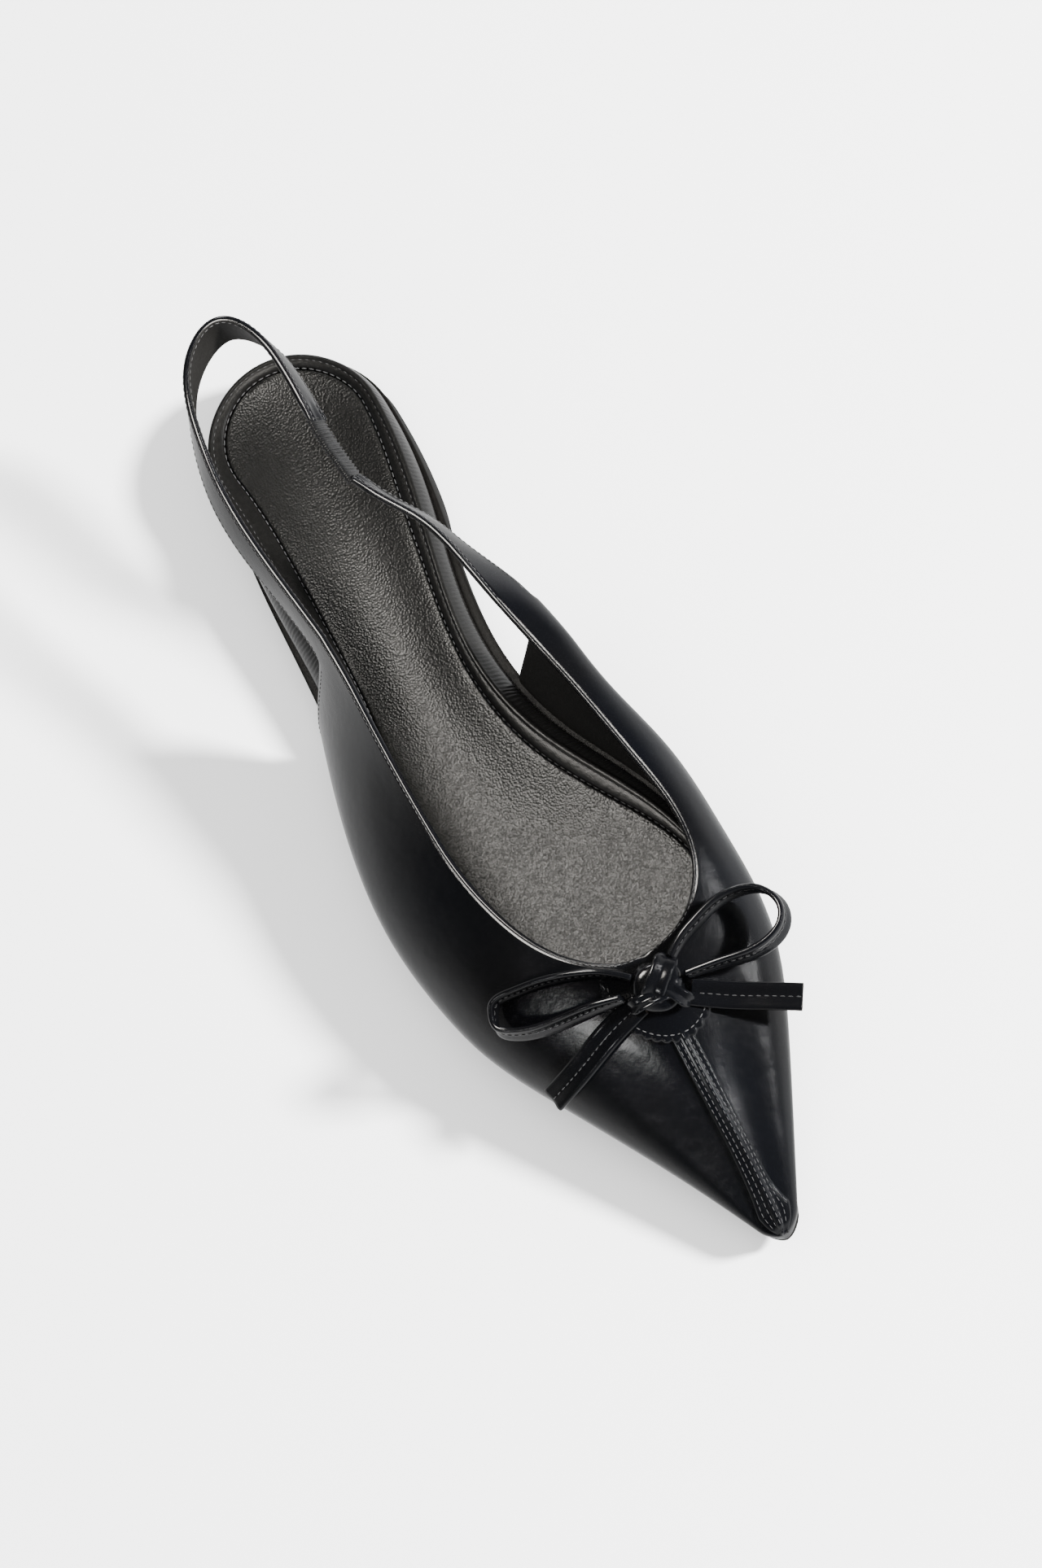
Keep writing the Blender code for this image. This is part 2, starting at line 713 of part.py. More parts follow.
def seam_piece():
    """The strip over the joint of the two vamp halves, from the knot to the tip."""
    rings = []
    for travel in spread(travel_of(SEAM_START), 2.0, 14):
        narrow = 1.0 - 0.3 * smooth_step(along_of(travel), 0.85, 1.0)
        half = 0.5 * SEAM_WIDTH * narrow
        over = np.linalg.norm(last_point(travel, RIDGE_TURN + 0.01) - last_point(travel, RIDGE_TURN)) / 0.01
        reach = half / over
        low, high = [], []
        for share in (-1.0, -0.5, 0.0, 0.5, 1.0):
            turn = RIDGE_TURN + reach * share
            base = last_point(travel, turn)
            normal = last_normal(travel, turn)
            thick = SEAM_THICKNESS * (1.0 - 0.4 * abs(share))
            low.append(base + normal * GAP)
            high.append(base + normal * (GAP + thick))
        rings.append(low + high[::-1])
    return loft("toe_seam", rings, LEATHER, capped=True)


# Straps


def band_outline(half_wide, half_thick):
    """Section of a flat band: how far up its width and how far out of its middle."""
    corner = 0.6 * half_thick
    return (
        (-half_wide + corner, -half_thick), (0.0, -half_thick), (half_wide - corner, -half_thick),
        (half_wide, -half_thick + corner), (half_wide, half_thick - corner),
        (half_wide - corner, half_thick), (0.0, half_thick), (-half_wide + corner, half_thick),
        (-half_wide, half_thick - corner), (-half_wide, -half_thick + corner),
    )


def band_rings(rows, width, thickness, count):
    """Sweep a flat band with rounded edges along rows of its middle, lean and width."""
    rows = np.array(rows, float)
    knots = [0.0]
    for near, far in zip(rows, rows[1:]):
        knots.append(knots[-1] + float(np.linalg.norm((far - near)[:3])))
    curve = natural_spline([knot / knots[-1] for knot in knots], rows)
    small = 1e-3
    rings = []
    for share in spread(0.0, 1.0, count):
        *place, lean, wide = curve(share)
        run = curve(min(share + small, 1.0))[:3] - curve(max(share - small, 0.0))[:3]
        run = run / np.linalg.norm(run)
        outward = np.cross((0.0, 0.0, 1.0), run)
        outward = outward / np.linalg.norm(outward)
        upward = np.cross(run, outward)
        lean = math.radians(lean)
        tall = upward * math.cos(lean) + outward * math.sin(lean)
        flat = outward * math.cos(lean) - upward * math.sin(lean)
        outline = band_outline(0.5 * width * wide, 0.5 * thickness)
        rings.append([np.array(place) + tall * up + flat * out for up, out in outline])
    return rings


def strap_rows(table):
    """Rows of a strap's table in metres."""
    return [
        (across * HEEL_WIDTH, along_y(along), height * STRAP_HEIGHT, lean, wide)
        for across, along, height, lean, wide in table
    ]


def quarter_end(side):
    """The strap's last ring, flush with the rear edge of one quarter, and its middle as a row."""
    row = opening_rows(side, 1, 1)[0]
    middle = 0.5 * WALL
    top = row_point(row, 1.0, middle)
    drop = 0.0
    while np.linalg.norm(top - row_point(row, 1.0 - drop, middle)) < STRAP_WIDTH:
        drop += 0.005
    back = np.array((0.0, END_GAP, 0.0))
    ring = []
    for up, out in band_outline(0.5, middle):
        share = 1.0 - drop * (0.5 - up)
        ring.append(row_point(row, share, middle - out) - back)
    low = row_point(row, 1.0 - drop, middle)
    lean = -math.degrees(math.atan2(abs(low[0]) - abs(top[0]), top[2] - low[2]))
    return ring, (*(0.5 * (top + low) - back), lean, 1.0)


def strap_pieces():
    ring, row = quarter_end("outer")
    rings = band_rings([row] + strap_rows(BACK_STRAP), STRAP_WIDTH, STRAP_THICKNESS, 56)
    loft("back_strap", [ring] + rings[1:], LEATHER, capped=True)
    ring, row = quarter_end("inner")
    rings = band_rings(strap_rows(FRONT_STRAP) + [row], STRAP_WIDTH, STRAP_THICKNESS, 16)
    loft("front_strap", rings[:-1] + [ring], LEATHER, capped=True)
    rings = band_rings(strap_rows(ELASTIC_PATH), ELASTIC_WIDTH, ELASTIC_THICKNESS, 16)
    loft("strap_elastic", rings, LEATHER, capped=True)


# Bow


def knot_frame():
    """Middle of the knot on the vamp and its three directions: sideways, forward and up."""
    travel = travel_of(KNOT_ALONG)
    up = last_normal(travel, RIDGE_TURN)
    turn = math.radians(KNOT_TURN)
    forward = np.cross(up, (math.cos(turn), -math.sin(turn), 0.0))
    forward = forward / np.linalg.norm(forward)
    middle = last_point(travel, RIDGE_TURN) + up * (GAP + 0.5 * KNOT_HEIGHT)
    return middle, np.cross(forward, up), forward, up


def soft_power(value, power=0.72):
    """Bulge a sine or cosine towards a rounded box."""
    return math.copysign(abs(value) ** power, value)


def knot_piece():
    middle, sideways, forward, up = knot_frame()
    rings = []
    for slope in spread(-0.5 * math.pi, 0.5 * math.pi, 10):
        size = soft_power(math.cos(slope))
        place = middle + sideways * 0.5 * KNOT_WIDTH * soft_power(math.sin(slope))
        ring = []
        for turn in spread(0.0, 2.0 * math.pi, 16)[:-1]:
            ahead = 0.5 * KNOT_LENGTH * size * soft_power(math.cos(turn))
            high = 0.5 * KNOT_HEIGHT * size * soft_power(math.sin(turn))
            ring.append(place + forward * ahead + up * high)
        rings.append(ring)
    loft("bow_knot", rings, LEATHER)


def ribbon_rows(table):
    """Rows of a ribbon's table in metres."""
    middle = knot_frame()[0]
    return [
        (*(middle + np.array(row[:3]) * LOOP_REACH), row[3], row[4])
        for row in table
    ]


def bow_pieces():
    knot_piece()
    ribbons = (
        ("bow_loop_outer", OUTER_LOOP, 40), ("bow_loop_inner", INNER_LOOP, 40),
        ("bow_tail_outer", OUTER_TAIL, 10), ("bow_tail_inner", INNER_TAIL, 10),
    )
    for name, table, count in ribbons:
        rings = band_rings(ribbon_rows(table), RIBBON_WIDTH, RIBBON_THICKNESS, count)
        loft(name, rings, LEATHER, capped=True)


def clear_scene():
    for item in list(bpy.data.objects):
        bpy.data.objects.remove(item, do_unlink=True)


def centre_pieces():
    """Move every piece so that the middle of the shoe's bounding box stands on the origin."""
    points = [vertex.co for piece in bpy.data.objects for vertex in piece.data.vertices]
    low = [min(point[axis] for point in points) for axis in range(3)]
    high = [max(point[axis] for point in points) for axis in range(3)]
    shift = Vector((-0.5 * (low[0] + high[0]), -0.5 * (low[1] + high[1]), -low[2]))
    for piece in bpy.data.objects:
        piece.data.transform(Matrix.Translation(shift))


clear_scene()
sole_pieces()
upper_piece()
seam_piece()
strap_pieces()
bow_pieces()
centre_pieces()
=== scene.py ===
# %% [markdown]
# # A pointed ballet flat in black polished leather
# This lesson dresses a packed shoe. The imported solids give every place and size.
# Here each piece is made again with fine surfaces, seams, stitches and real finishes.
# The shoe stands on the floor plane with its toe towards +Y and its outer side towards +X.

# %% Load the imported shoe
import math

import bpy
import numpy as np
from mathutils import Matrix, Vector


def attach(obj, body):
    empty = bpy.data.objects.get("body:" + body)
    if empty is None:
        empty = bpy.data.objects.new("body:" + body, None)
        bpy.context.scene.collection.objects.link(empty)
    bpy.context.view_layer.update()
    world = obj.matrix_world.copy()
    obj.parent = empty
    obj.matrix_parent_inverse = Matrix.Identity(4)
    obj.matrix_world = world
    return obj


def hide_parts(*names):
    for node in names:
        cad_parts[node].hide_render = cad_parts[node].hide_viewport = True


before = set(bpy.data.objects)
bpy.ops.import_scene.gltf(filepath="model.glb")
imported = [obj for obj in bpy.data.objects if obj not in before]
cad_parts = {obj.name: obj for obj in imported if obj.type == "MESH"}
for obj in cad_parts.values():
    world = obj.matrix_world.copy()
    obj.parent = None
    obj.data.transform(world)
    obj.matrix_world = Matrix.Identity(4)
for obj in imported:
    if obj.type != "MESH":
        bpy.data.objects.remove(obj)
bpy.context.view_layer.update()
MM = 0.001
print("packed pieces:", ", ".join(sorted(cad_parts)))

# %% [markdown]
# ## Sizes of the shoe
# A shoemaker writes a shoe down as a few sizes and some tables read along the last.
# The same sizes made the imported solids, so the fine surfaces land on them with no fitting.

# %% Named sizes
LENGTH, BALL_WIDTH, HEEL_WIDTH = 271.0 * MM, 77.0 * MM, 53.0 * MM
HEEL_LIFT, SOLE_THICKNESS, WAIST_RISE, TOE_SPRING = 9.0 * MM, 3.4 * MM, 4.4 * MM, 5.0 * MM
HEEL_PAD, BALL_PAD, RIM_ROUND, MARGIN_DROP = 7.7 * MM, 3.8 * MM, 0.8 * MM, 1.4 * MM
DISH_DEPTH, SOCK_THICKNESS = 2.6 * MM, 1.2 * MM
FOOTBED_REACH, RECESS_REACH = 5.0 * MM, 2.5 * MM
WALL, FEATHER_INSET, GAP = 1.8 * MM, 0.3 * MM, 0.3 * MM
GIRTH_WIDTH, VAMP_HEIGHT = 85.0 * MM, 37.0 * MM
STRAP_WIDTH, STRAP_HEIGHT = 10.5 * MM, 59.0 * MM
ELASTIC_WIDTH, ELASTIC_THICKNESS = 8.5 * MM, 2.6 * MM
SEAM_WIDTH, SEAM_THICKNESS = 5.4 * MM, 0.9 * MM
RIBBON_WIDTH, RIBBON_THICKNESS, LOOP_REACH = 6.8 * MM, 1.5 * MM, 38.0 * MM
KNOT_LENGTH, KNOT_WIDTH, KNOT_HEIGHT = 13.0 * MM, 11.5 * MM, 6.5 * MM
print("length, ball and heel in mm:", [round(size / MM, 1) for size in (LENGTH, BALL_WIDTH, HEEL_WIDTH)])

# %% Sole outline and footbed margins, read along the shoe
HEEL_OUTLINE = (
    # along, inner, outer
    (0.00, -0.470, 0.470), (0.05, -0.477, 0.478), (0.10, -0.482, 0.482),
    (0.19, -0.450, 0.528), (0.28, -0.360, 0.568), (0.37, -0.304, 0.620),
)
BALL_OUTLINE = (
    # along, inner, outer
    (0.46, -0.260, 0.478), (0.55, -0.392, 0.523), (0.63, -0.464, 0.526), (0.70, -0.465, 0.478),
    (0.78, -0.405, 0.364), (0.86, -0.274, 0.236), (0.93, -0.156, 0.128), (1.00, -0.046, 0.034),
)
HEEL_ROUND, TOE_ROUND, FOOTBED_END = 0.10, 0.985, 0.93
FOOTBED_MARGINS = (
    # along, inner rim, outer rim, inner sock, outer sock
    (0.00, 0.026, 0.026, 0.092, 0.092),
    (0.05, 0.026, 0.030, 0.092, 0.112),
    (0.10, 0.027, 0.045, 0.094, 0.150),
    (0.19, 0.050, 0.095, 0.136, 0.206),
    (0.28, 0.074, 0.138, 0.146, 0.224),
    (0.37, 0.102, 0.150, 0.168, 0.234),
    (0.46, 0.112, 0.132, 0.200, 0.212),
    (0.55, 0.096, 0.096, 0.184, 0.166),
    (0.63, 0.072, 0.072, 0.122, 0.118),
    (0.72, 0.062, 0.062, 0.092, 0.092),
    (1.00, 0.060, 0.060, 0.084, 0.084),
)
print("rows of the outline and the margins:", len(HEEL_OUTLINE + BALL_OUTLINE), len(FOOTBED_MARGINS))

# %% The last: how the upper stands over the sole
LAST_INNER = (
    # along, overhang, widest height, shoulder across, shoulder height
    (0.30, 0.165, 0.90, -0.270, 1.20),
    (0.36, 0.166, 0.80, -0.279, 1.17),
    (0.43, 0.166, 0.69, -0.310, 1.10),
    (0.50, 0.118, 0.60, -0.348, 1.03),
    (0.57, 0.082, 0.53, -0.376, 0.985),
    (0.65, 0.048, 0.49, -0.396, 0.955),
    (0.72, 0.052, 0.46, -0.344, 0.885),
    (0.80, 0.058, 0.42, -0.250, 0.760),
    (0.87, 0.052, 0.37, -0.156, 0.620),
    (0.94, 0.030, 0.31, -0.076, 0.455),
    (1.00, 0.004, 0.255, -0.016, 0.295),
)
LAST_OUTER = (
    # along, overhang, widest height, shoulder across, shoulder height
    (0.30, -0.030, 0.40, 0.200, 1.24),
    (0.36, 0.012, 0.39, 0.202, 1.19),
    (0.43, 0.043, 0.40, 0.214, 1.11),
    (0.50, 0.053, 0.42, 0.224, 1.035),
    (0.57, 0.048, 0.42, 0.227, 0.990),
    (0.65, 0.036, 0.405, 0.232, 0.935),
    (0.72, 0.040, 0.39, 0.225, 0.845),
    (0.80, 0.032, 0.365, 0.160, 0.725),
    (0.87, 0.022, 0.335, 0.100, 0.590),
    (0.94, 0.014, 0.295, 0.050, 0.435),
    (1.00, 0.004, 0.255, 0.016, 0.295),
)
LAST_RIDGE = (
    # along, across, height
    (0.30, 0.060, 1.90), (0.36, 0.020, 1.70), (0.43, -0.044, 1.50), (0.50, -0.066, 1.34),
    (0.57, -0.088, 1.20), (0.65, -0.108, 1.085), (0.72, -0.112, 1.010), (0.80, -0.085, 0.890),
    (0.87, -0.062, 0.715), (0.94, -0.038, 0.500), (1.00, -0.006, 0.315),
)
TURNS = (0.0, 0.20, 0.60, 1.0, 1.55, 2.02, 2.26)
RIDGE_TURN = TURNS[3]
THROAT_FRONT, THROAT_FOOT, KNOT_ALONG, KNOT_TURN, SEAM_START = 0.741, 0.79, 0.773, 34.0, 0.802
OPENING = {
    # side: feather turn, topline turn, rear top, rear foot, start of the sweep, sweep roundness
    "inner": (TURNS[0], TURNS[2], 0.385, 0.405, 0.662, 0.80),
    "outer": (TURNS[6], TURNS[4], 0.325, 0.370, 0.540, 1.00),
}
print("rows of the last:", len(LAST_INNER), len(LAST_OUTER), len(LAST_RIDGE))

# %% Paths of the straps and the bow
BACK_STRAP = (
    # across, along, height, lean, width
    (0.360, 0.279, 0.715, -22, 1.00),
    (0.387, 0.212, 0.780, -28, 1.00),
    (0.377, 0.160, 0.847, -30, 1.00),
    (0.321, 0.116, 0.924, -24, 1.00),
    (0.226, 0.072, 0.975, -10, 1.00),
    (0.094, 0.044, 0.992, 4, 1.00),
    (-0.075, 0.035, 0.992, 10, 1.00),
    (-0.192, 0.061, 0.966, 0, 0.96),
    (-0.223, 0.101, 0.915, -8, 0.88),
    (-0.215, 0.135, 0.873, -14, 0.80),
    (-0.204, 0.153, 0.847, -16, 0.77),
)
ELASTIC_PATH = (
    # across, along, height, lean, width
    (-0.203, 0.1555, 0.844, -16, 1.00),
    (-0.200, 0.184, 0.810, -17, 1.00),
    (-0.207, 0.2105, 0.780, -18, 1.00),
)
FRONT_STRAP = (
    # across, along, height, lean, width
    (-0.209, 0.213, 0.777, -18, 0.77),
    (-0.292, 0.248, 0.746, -15, 0.80),
    (-0.387, 0.284, 0.716, -14, 0.86),
    (-0.450, 0.325, 0.675, -20, 0.94),
)
OUTER_LOOP = (
    # out, forward, rise, lean, width
    (0.110, -0.128, 0.016, 0, 0.62),
    (0.238, -0.245, 0.034, 0, 0.90),
    (0.424, -0.359, 0.026, 0, 1.00),
    (0.629, -0.457, -0.022, 0, 1.00),
    (0.808, -0.523, -0.085, 2, 1.00),
    (0.967, -0.543, -0.143, 4, 1.00),
    (1.016, -0.492, -0.170, 4, 1.00),
    (1.034, -0.405, -0.182, 6, 1.00),
    (0.976, -0.334, -0.175, 8, 1.00),
    (0.810, -0.238, -0.138, 10, 1.00),
    (0.603, -0.172, -0.085, 10, 1.00),
    (0.400, -0.108, -0.010, 8, 0.90),
    (0.228, -0.052, 0.020, 4, 0.60),
)
INNER_LOOP = (
    # out, forward, rise, lean, width
    (-0.168, -0.108, 0.008, 0, 0.62),
    (-0.311, -0.183, 0.005, 0, 0.90),
    (-0.433, -0.221, -0.004, 0, 1.00),
    (-0.584, -0.256, -0.012, 0, 1.00),
    (-0.740, -0.245, -0.024, 0, 1.00),
    (-0.856, -0.190, -0.032, -4, 1.00),
    (-0.920, -0.099, -0.037, -6, 1.00),
    (-0.931, 0.010, -0.037, -6, 1.00),
    (-0.871, 0.109, -0.032, -8, 1.00),
    (-0.760, 0.156, -0.026, -8, 1.00),
    (-0.614, 0.154, -0.022, -6, 1.00),
    (-0.446, 0.107, -0.012, -4, 0.90),
    (-0.192, 0.038, 0.000, 0, 0.60),
)
OUTER_TAIL = (
    # out, forward, rise, lean, width
    (0.158, 0.012, -0.073, 98, 0.90),
    (0.429, 0.039, -0.142, 102, 1.00),
    (0.643, 0.070, -0.245, 100, 1.00),
    (0.818, 0.091, -0.335, 100, 1.00),
    (0.993, 0.098, -0.440, 98, 1.00),
)
INNER_TAIL = (
    # out, forward, rise, lean, width
    (-0.145, 0.112, -0.120, 74, 0.96),
    (-0.270, 0.197, -0.175, 76, 1.00),
    (-0.372, 0.268, -0.206, 80, 1.00),
    (-0.547, 0.383, -0.234, 84, 1.00),
    (-0.720, 0.500, -0.261, 86, 1.00),
)
print("rows of the straps:", len(BACK_STRAP), len(FRONT_STRAP))
print("rows of the loops:", len(OUTER_LOOP), len(INNER_LOOP))

# %% [markdown]
# ## Reading the tables
# Each table is turned into a smooth curve, so a surface may ask for any place between its rows.
# A travel value runs 0 to 1 round the heel, 1 to 2 along the side and 2 to 3 round the tip.

# %% Smooth curves through the tables
def smooth_step(where, low, high):
    """Rise from 0 at low to 1 at high without a corner."""
    share = min(max((where - low) / (high - low), 0.0), 1.0)
    return share * share * (3.0 - 2.0 * share)


def natural_spline(knots, values):
    """Return the smooth curve through values at knots."""
    knots, values = np.asarray(knots, float), np.asarray(values, float)
    spans, count = np.diff(knots), len(knots)
    system, pull = np.eye(count), np.zeros_like(values)
    for i in range(1, count - 1):
        system[i, i - 1:i + 2] = spans[i - 1], 2.0 * (spans[i - 1] + spans[i]), spans[i]
        after = (values[i + 1] - values[i]) / spans[i]
        pull[i] = 6.0 * (after - (values[i] - values[i - 1]) / spans[i - 1])
    bend = np.linalg.solve(system, pull)

    def curve(where):
        i = min(max(int(np.searchsorted(knots, where)) - 1, 0), count - 2)
        near = (knots[i + 1] - where) / spans[i]
        far = 1.0 - near
        sag = (near ** 3 - near) * bend[i] + (far ** 3 - far) * bend[i + 1]
        return near * values[i] + far * values[i + 1] + sag * spans[i] ** 2 / 6.0

    return curve


def table_curve(table, scales):
    """Read a table whose first column is the place along the shoe."""
    values = np.array([row[1:] for row in table], float)
    return natural_spline([row[0] for row in table], values * scales)


outline_curve = table_curve(
    [(row[0], row[1] * HEEL_WIDTH, row[2] * HEEL_WIDTH) for row in HEEL_OUTLINE]
    + [(row[0], row[1] * BALL_WIDTH, row[2] * BALL_WIDTH) for row in BALL_OUTLINE], [1.0, 1.0])
margin_curve = table_curve(FOOTBED_MARGINS, [HEEL_WIDTH] * 4)
last_inner = table_curve(LAST_INNER, [GIRTH_WIDTH, VAMP_HEIGHT] * 2)
last_outer = table_curve(LAST_OUTER, [GIRTH_WIDTH, VAMP_HEIGHT] * 2)
last_ridge = table_curve(LAST_RIDGE, [GIRTH_WIDTH, VAMP_HEIGHT])
print("outline at the ball in mm:", np.round(outline_curve(0.66) / MM, 1))

# %% Places round the sole's edge
def along_of(travel):
    """Place along the shoe for a travel value."""
    if travel < 1.0:
        return HEEL_ROUND * (1.0 - math.cos(0.5 * math.pi * travel))
    if travel > 2.0:
        return TOE_ROUND + (1.0 - TOE_ROUND) * math.sin(0.5 * math.pi * (travel - 2.0))
    return HEEL_ROUND + (TOE_ROUND - HEEL_ROUND) * (travel - 1.0)


def travel_of(along):
    """Travel value for a place along the side of the shoe."""
    return 1.0 + (along - HEEL_ROUND) / (TOE_ROUND - HEEL_ROUND)


def roundness(travel):
    """How much of its full width the outline has at the two round ends."""
    if travel < 1.0:
        return math.sin(0.5 * math.pi * travel)
    return math.cos(0.5 * math.pi * (travel - 2.0)) if travel > 2.0 else 1.0


def along_y(along):
    """Place in metres on the Y axis."""
    return (along - 0.5) * LENGTH


def sole_edge(travel, side):
    """Point on the sole's edge in plan, side 0 being the inner one."""
    along = along_of(travel)
    return np.array((outline_curve(along)[side] * roundness(travel), along_y(along)))


def inset_edge(travel, side, inset):
    """Point that lies an inset inside the sole's edge."""
    run = sole_edge(travel + 1e-3, side) - sole_edge(travel - 1e-3, side)
    run = run / np.linalg.norm(run)
    inward = np.array((run[1], -run[0])) if side == 0 else np.array((-run[1], run[0]))
    return sole_edge(travel, side) + inward * inset


def toe_lift(along):
    """How far the toe springs up from the floor."""
    return TOE_SPRING * (max(along - 0.72, 0.0) / 0.28) ** 2


def sole_bottom(along):
    """Height of the sole's underside, with the arch under the waist."""
    waist = smooth_step(along, 0.205, 0.262) * (1.0 - smooth_step(along, 0.33, 0.53))
    return WAIST_RISE * waist + toe_lift(along)


def sole_top(along):
    """Height of the sole's upper side, which rises to the heel."""
    heel = (HEEL_LIFT - SOLE_THICKNESS) * (1.0 - smooth_step(along, 0.18, 0.56))
    return SOLE_THICKNESS + heel + toe_lift(along)


def rim_height(along):
    """Top of the footbed's rim over the floor."""
    pad = BALL_PAD + (HEEL_PAD - BALL_PAD) * (1.0 - smooth_step(along, 0.36, 0.62))
    return sole_top(along) + GAP + pad


def spread(first, last, count):
    """Even steps from first to last."""
    return [first + (last - first) * i / count for i in range(count + 1)]


ball_edges = [np.round(sole_edge(travel_of(0.66), side) / MM, 1) for side in (0, 1)]
print("sole's edges at the ball in mm:", ball_edges)

# %% [markdown]
# ## The camera
# The photograph looks down on the shoe from in front of the inner side, with the picture rolled.
# A camera is a place and three directions, so it is set straight from those angles.

# %% Set the camera
ELEVATION, AROUND, ROLL = math.radians(67.593), math.radians(14.036), math.radians(46.692)
DISTANCE, LENS = 1300.0 * MM, 120.02
LOOK_AT = np.array((-4.762, 2.977, 12.0)) * MM
PICTURE, LOOK_PIXEL, SENSOR = (1280, 1927), (650, 965), 36.0

outward = math.cos(ELEVATION)
back = np.array((-math.sin(AROUND) * outward, math.cos(AROUND) * outward, math.sin(ELEVATION)))
level = np.cross(-back, (0.0, 0.0, 1.0))
level = level / np.linalg.norm(level)
plumb = np.cross(level, -back)
rightward = level * math.cos(ROLL) - plumb * math.sin(ROLL)
upward = level * math.sin(ROLL) + plumb * math.cos(ROLL)
focal = LENS * PICTURE[1] / SENSOR
shift_right = (LOOK_PIXEL[0] - 0.5 * PICTURE[0]) / focal * DISTANCE
shift_up = (0.5 * PICTURE[1] - LOOK_PIXEL[1]) / focal * DISTANCE
place = LOOK_AT + back * DISTANCE - rightward * shift_right - upward * shift_up
camera = bpy.data.objects.new("camera", bpy.data.cameras.new("camera"))
camera.data.lens = LENS
camera.data.clip_start = 0.01
bpy.context.scene.collection.objects.link(camera)
turned = zip(rightward, upward, back)
camera.matrix_world = Matrix([(*row, spot) for row, spot in zip(turned, place)] + [(0, 0, 0, 1)])
bpy.context.scene.camera = camera
print("camera stands at mm:", np.round(place / MM))

# %% [markdown]
# ## Light
# The picture is a bright studio. One lamp on the inner side throws the soft shadows to the left of
# the shoe, and a wide fill overhead and the pale room keep them light.
# Polished leather mirrors what stands round it, so its highlights can be set apart from the
# shadows. The gleams are lamps that are only seen mirrored: one at the side lamp, one on the
# outer side, one at the rear for the topline, and one close overhead for the sheen on the sock.
# For mirrored rays the room itself is pale near the floor and dark above.

# %% Lamps
def lamp(name, towards, distance, size, watts, color=(1.0, 1.0, 1.0), gleam=False):
    """Hang a round soft lamp in a direction from the shoe. A gleam is only seen mirrored."""
    data = bpy.data.lights.new(name, "AREA")
    data.shape, data.size, data.energy, data.color = "DISK", size, watts, color
    light = bpy.data.objects.new(name, data)
    towards = Vector(towards).normalized()
    light.location = towards * distance
    light.rotation_euler = towards.to_track_quat("Z", "Y").to_euler()
    light.visible_diffuse, light.visible_glossy = not gleam, gleam
    bpy.context.scene.collection.objects.link(light)


SIDE, FAR, WARM = (-0.785, 0.33, 0.525), 2.5, (1.0, 0.96, 0.90)
# name, direction, distance, size, watts
lamp("side_lamp", SIDE, FAR, 0.36, 495.0)
lamp("side_gleam", SIDE, FAR, 0.16, 22.0, gleam=True)
lamp("outer_gleam", (0.72, 0.20, 0.665), FAR, 0.25, 2.6, gleam=True)
lamp("rear_gleam", (-0.25, -0.87, 0.42), FAR, 0.50, 9.0, gleam=True)
lamp("overhead_gleam", (0.094, -0.224, 0.970), 0.294, 0.11, 0.95, WARM, gleam=True)
lamp("room_fill", (0.10, 0.10, 1.0), 2.2, 3.2, 38.0)

# %% The room's own glow
ROOM_GLOW, WALL_GLOW, CEILING_GLOW, WALL_FOOT, WALL_TOP = 1.55, 0.90, 0.03, -0.10, 0.45
world = bpy.data.worlds.new("studio room")
bpy.context.scene.world = world
world.use_nodes = True
sky = world.node_tree
ray = sky.nodes.new("ShaderNodeLightPath")
direction = sky.nodes.new("ShaderNodeTexCoord")
split = sky.nodes.new("ShaderNodeSeparateXYZ")
walls = sky.nodes.new("ShaderNodeMapRange")
sky.links.new(direction.outputs["Generated"], split.inputs[0])
sky.links.new(split.outputs["Z"], walls.inputs["Value"])
wall_range = {"From Min": WALL_FOOT, "From Max": WALL_TOP, "To Min": WALL_GLOW, "To Max": CEILING_GLOW}
for socket, value in wall_range.items():
    walls.inputs[socket].default_value = value
mix = sky.nodes.new("ShaderNodeMix")
mix.data_type = "FLOAT"
mix.inputs[2].default_value = ROOM_GLOW
sky.links.new(walls.outputs["Result"], mix.inputs[3])
sky.links.new(ray.outputs["Is Glossy Ray"], mix.inputs[0])
sky.links.new(mix.outputs[0], sky.nodes["Background"].inputs["Strength"])
sky.nodes["Background"].inputs["Color"].default_value = (1.0, 1.0, 1.0, 1.0)
print("room glow:", ROOM_GLOW, "mirrored walls:", WALL_GLOW, "mirrored ceiling:", CEILING_GLOW)

# %% [markdown]
# ## Helpers for finishes
# A finish is a small drawing of nodes. Written as Python it reads like a sum: a wrapped socket can be
# added to or multiplied, and each sum adds its Math node.

# %% Socket sums and the finish maker
class Signal:
    """A node socket that can be used in sums."""

    def __init__(self, finish, socket):
        self.finish, self.socket = finish, socket

    def sum(self, operation, *values):
        """Add a Math node on this signal."""
        return self.finish.node("ShaderNodeMath", {"operation": operation}, dict(enumerate(values)))

    def __add__(self, other): return self.sum("ADD", self, other)
    def __radd__(self, other): return self.sum("ADD", other, self)
    def __sub__(self, other): return self.sum("SUBTRACT", self, other)
    def __rsub__(self, other): return self.sum("SUBTRACT", other, self)
    def __mul__(self, other): return self.sum("MULTIPLY", self, other)
    def __rmul__(self, other): return self.sum("MULTIPLY", other, self)
    def __truediv__(self, other): return self.sum("DIVIDE", self, other)
    def size(self): return self.sum("ABSOLUTE", self)
    def least(self, other): return self.sum("MINIMUM", self, other)
    def most(self, other): return self.sum("MAXIMUM", self, other)
    def wave(self): return self.sum("SINE", self)
    def clamped(self): return self.least(1.0).most(0.0)


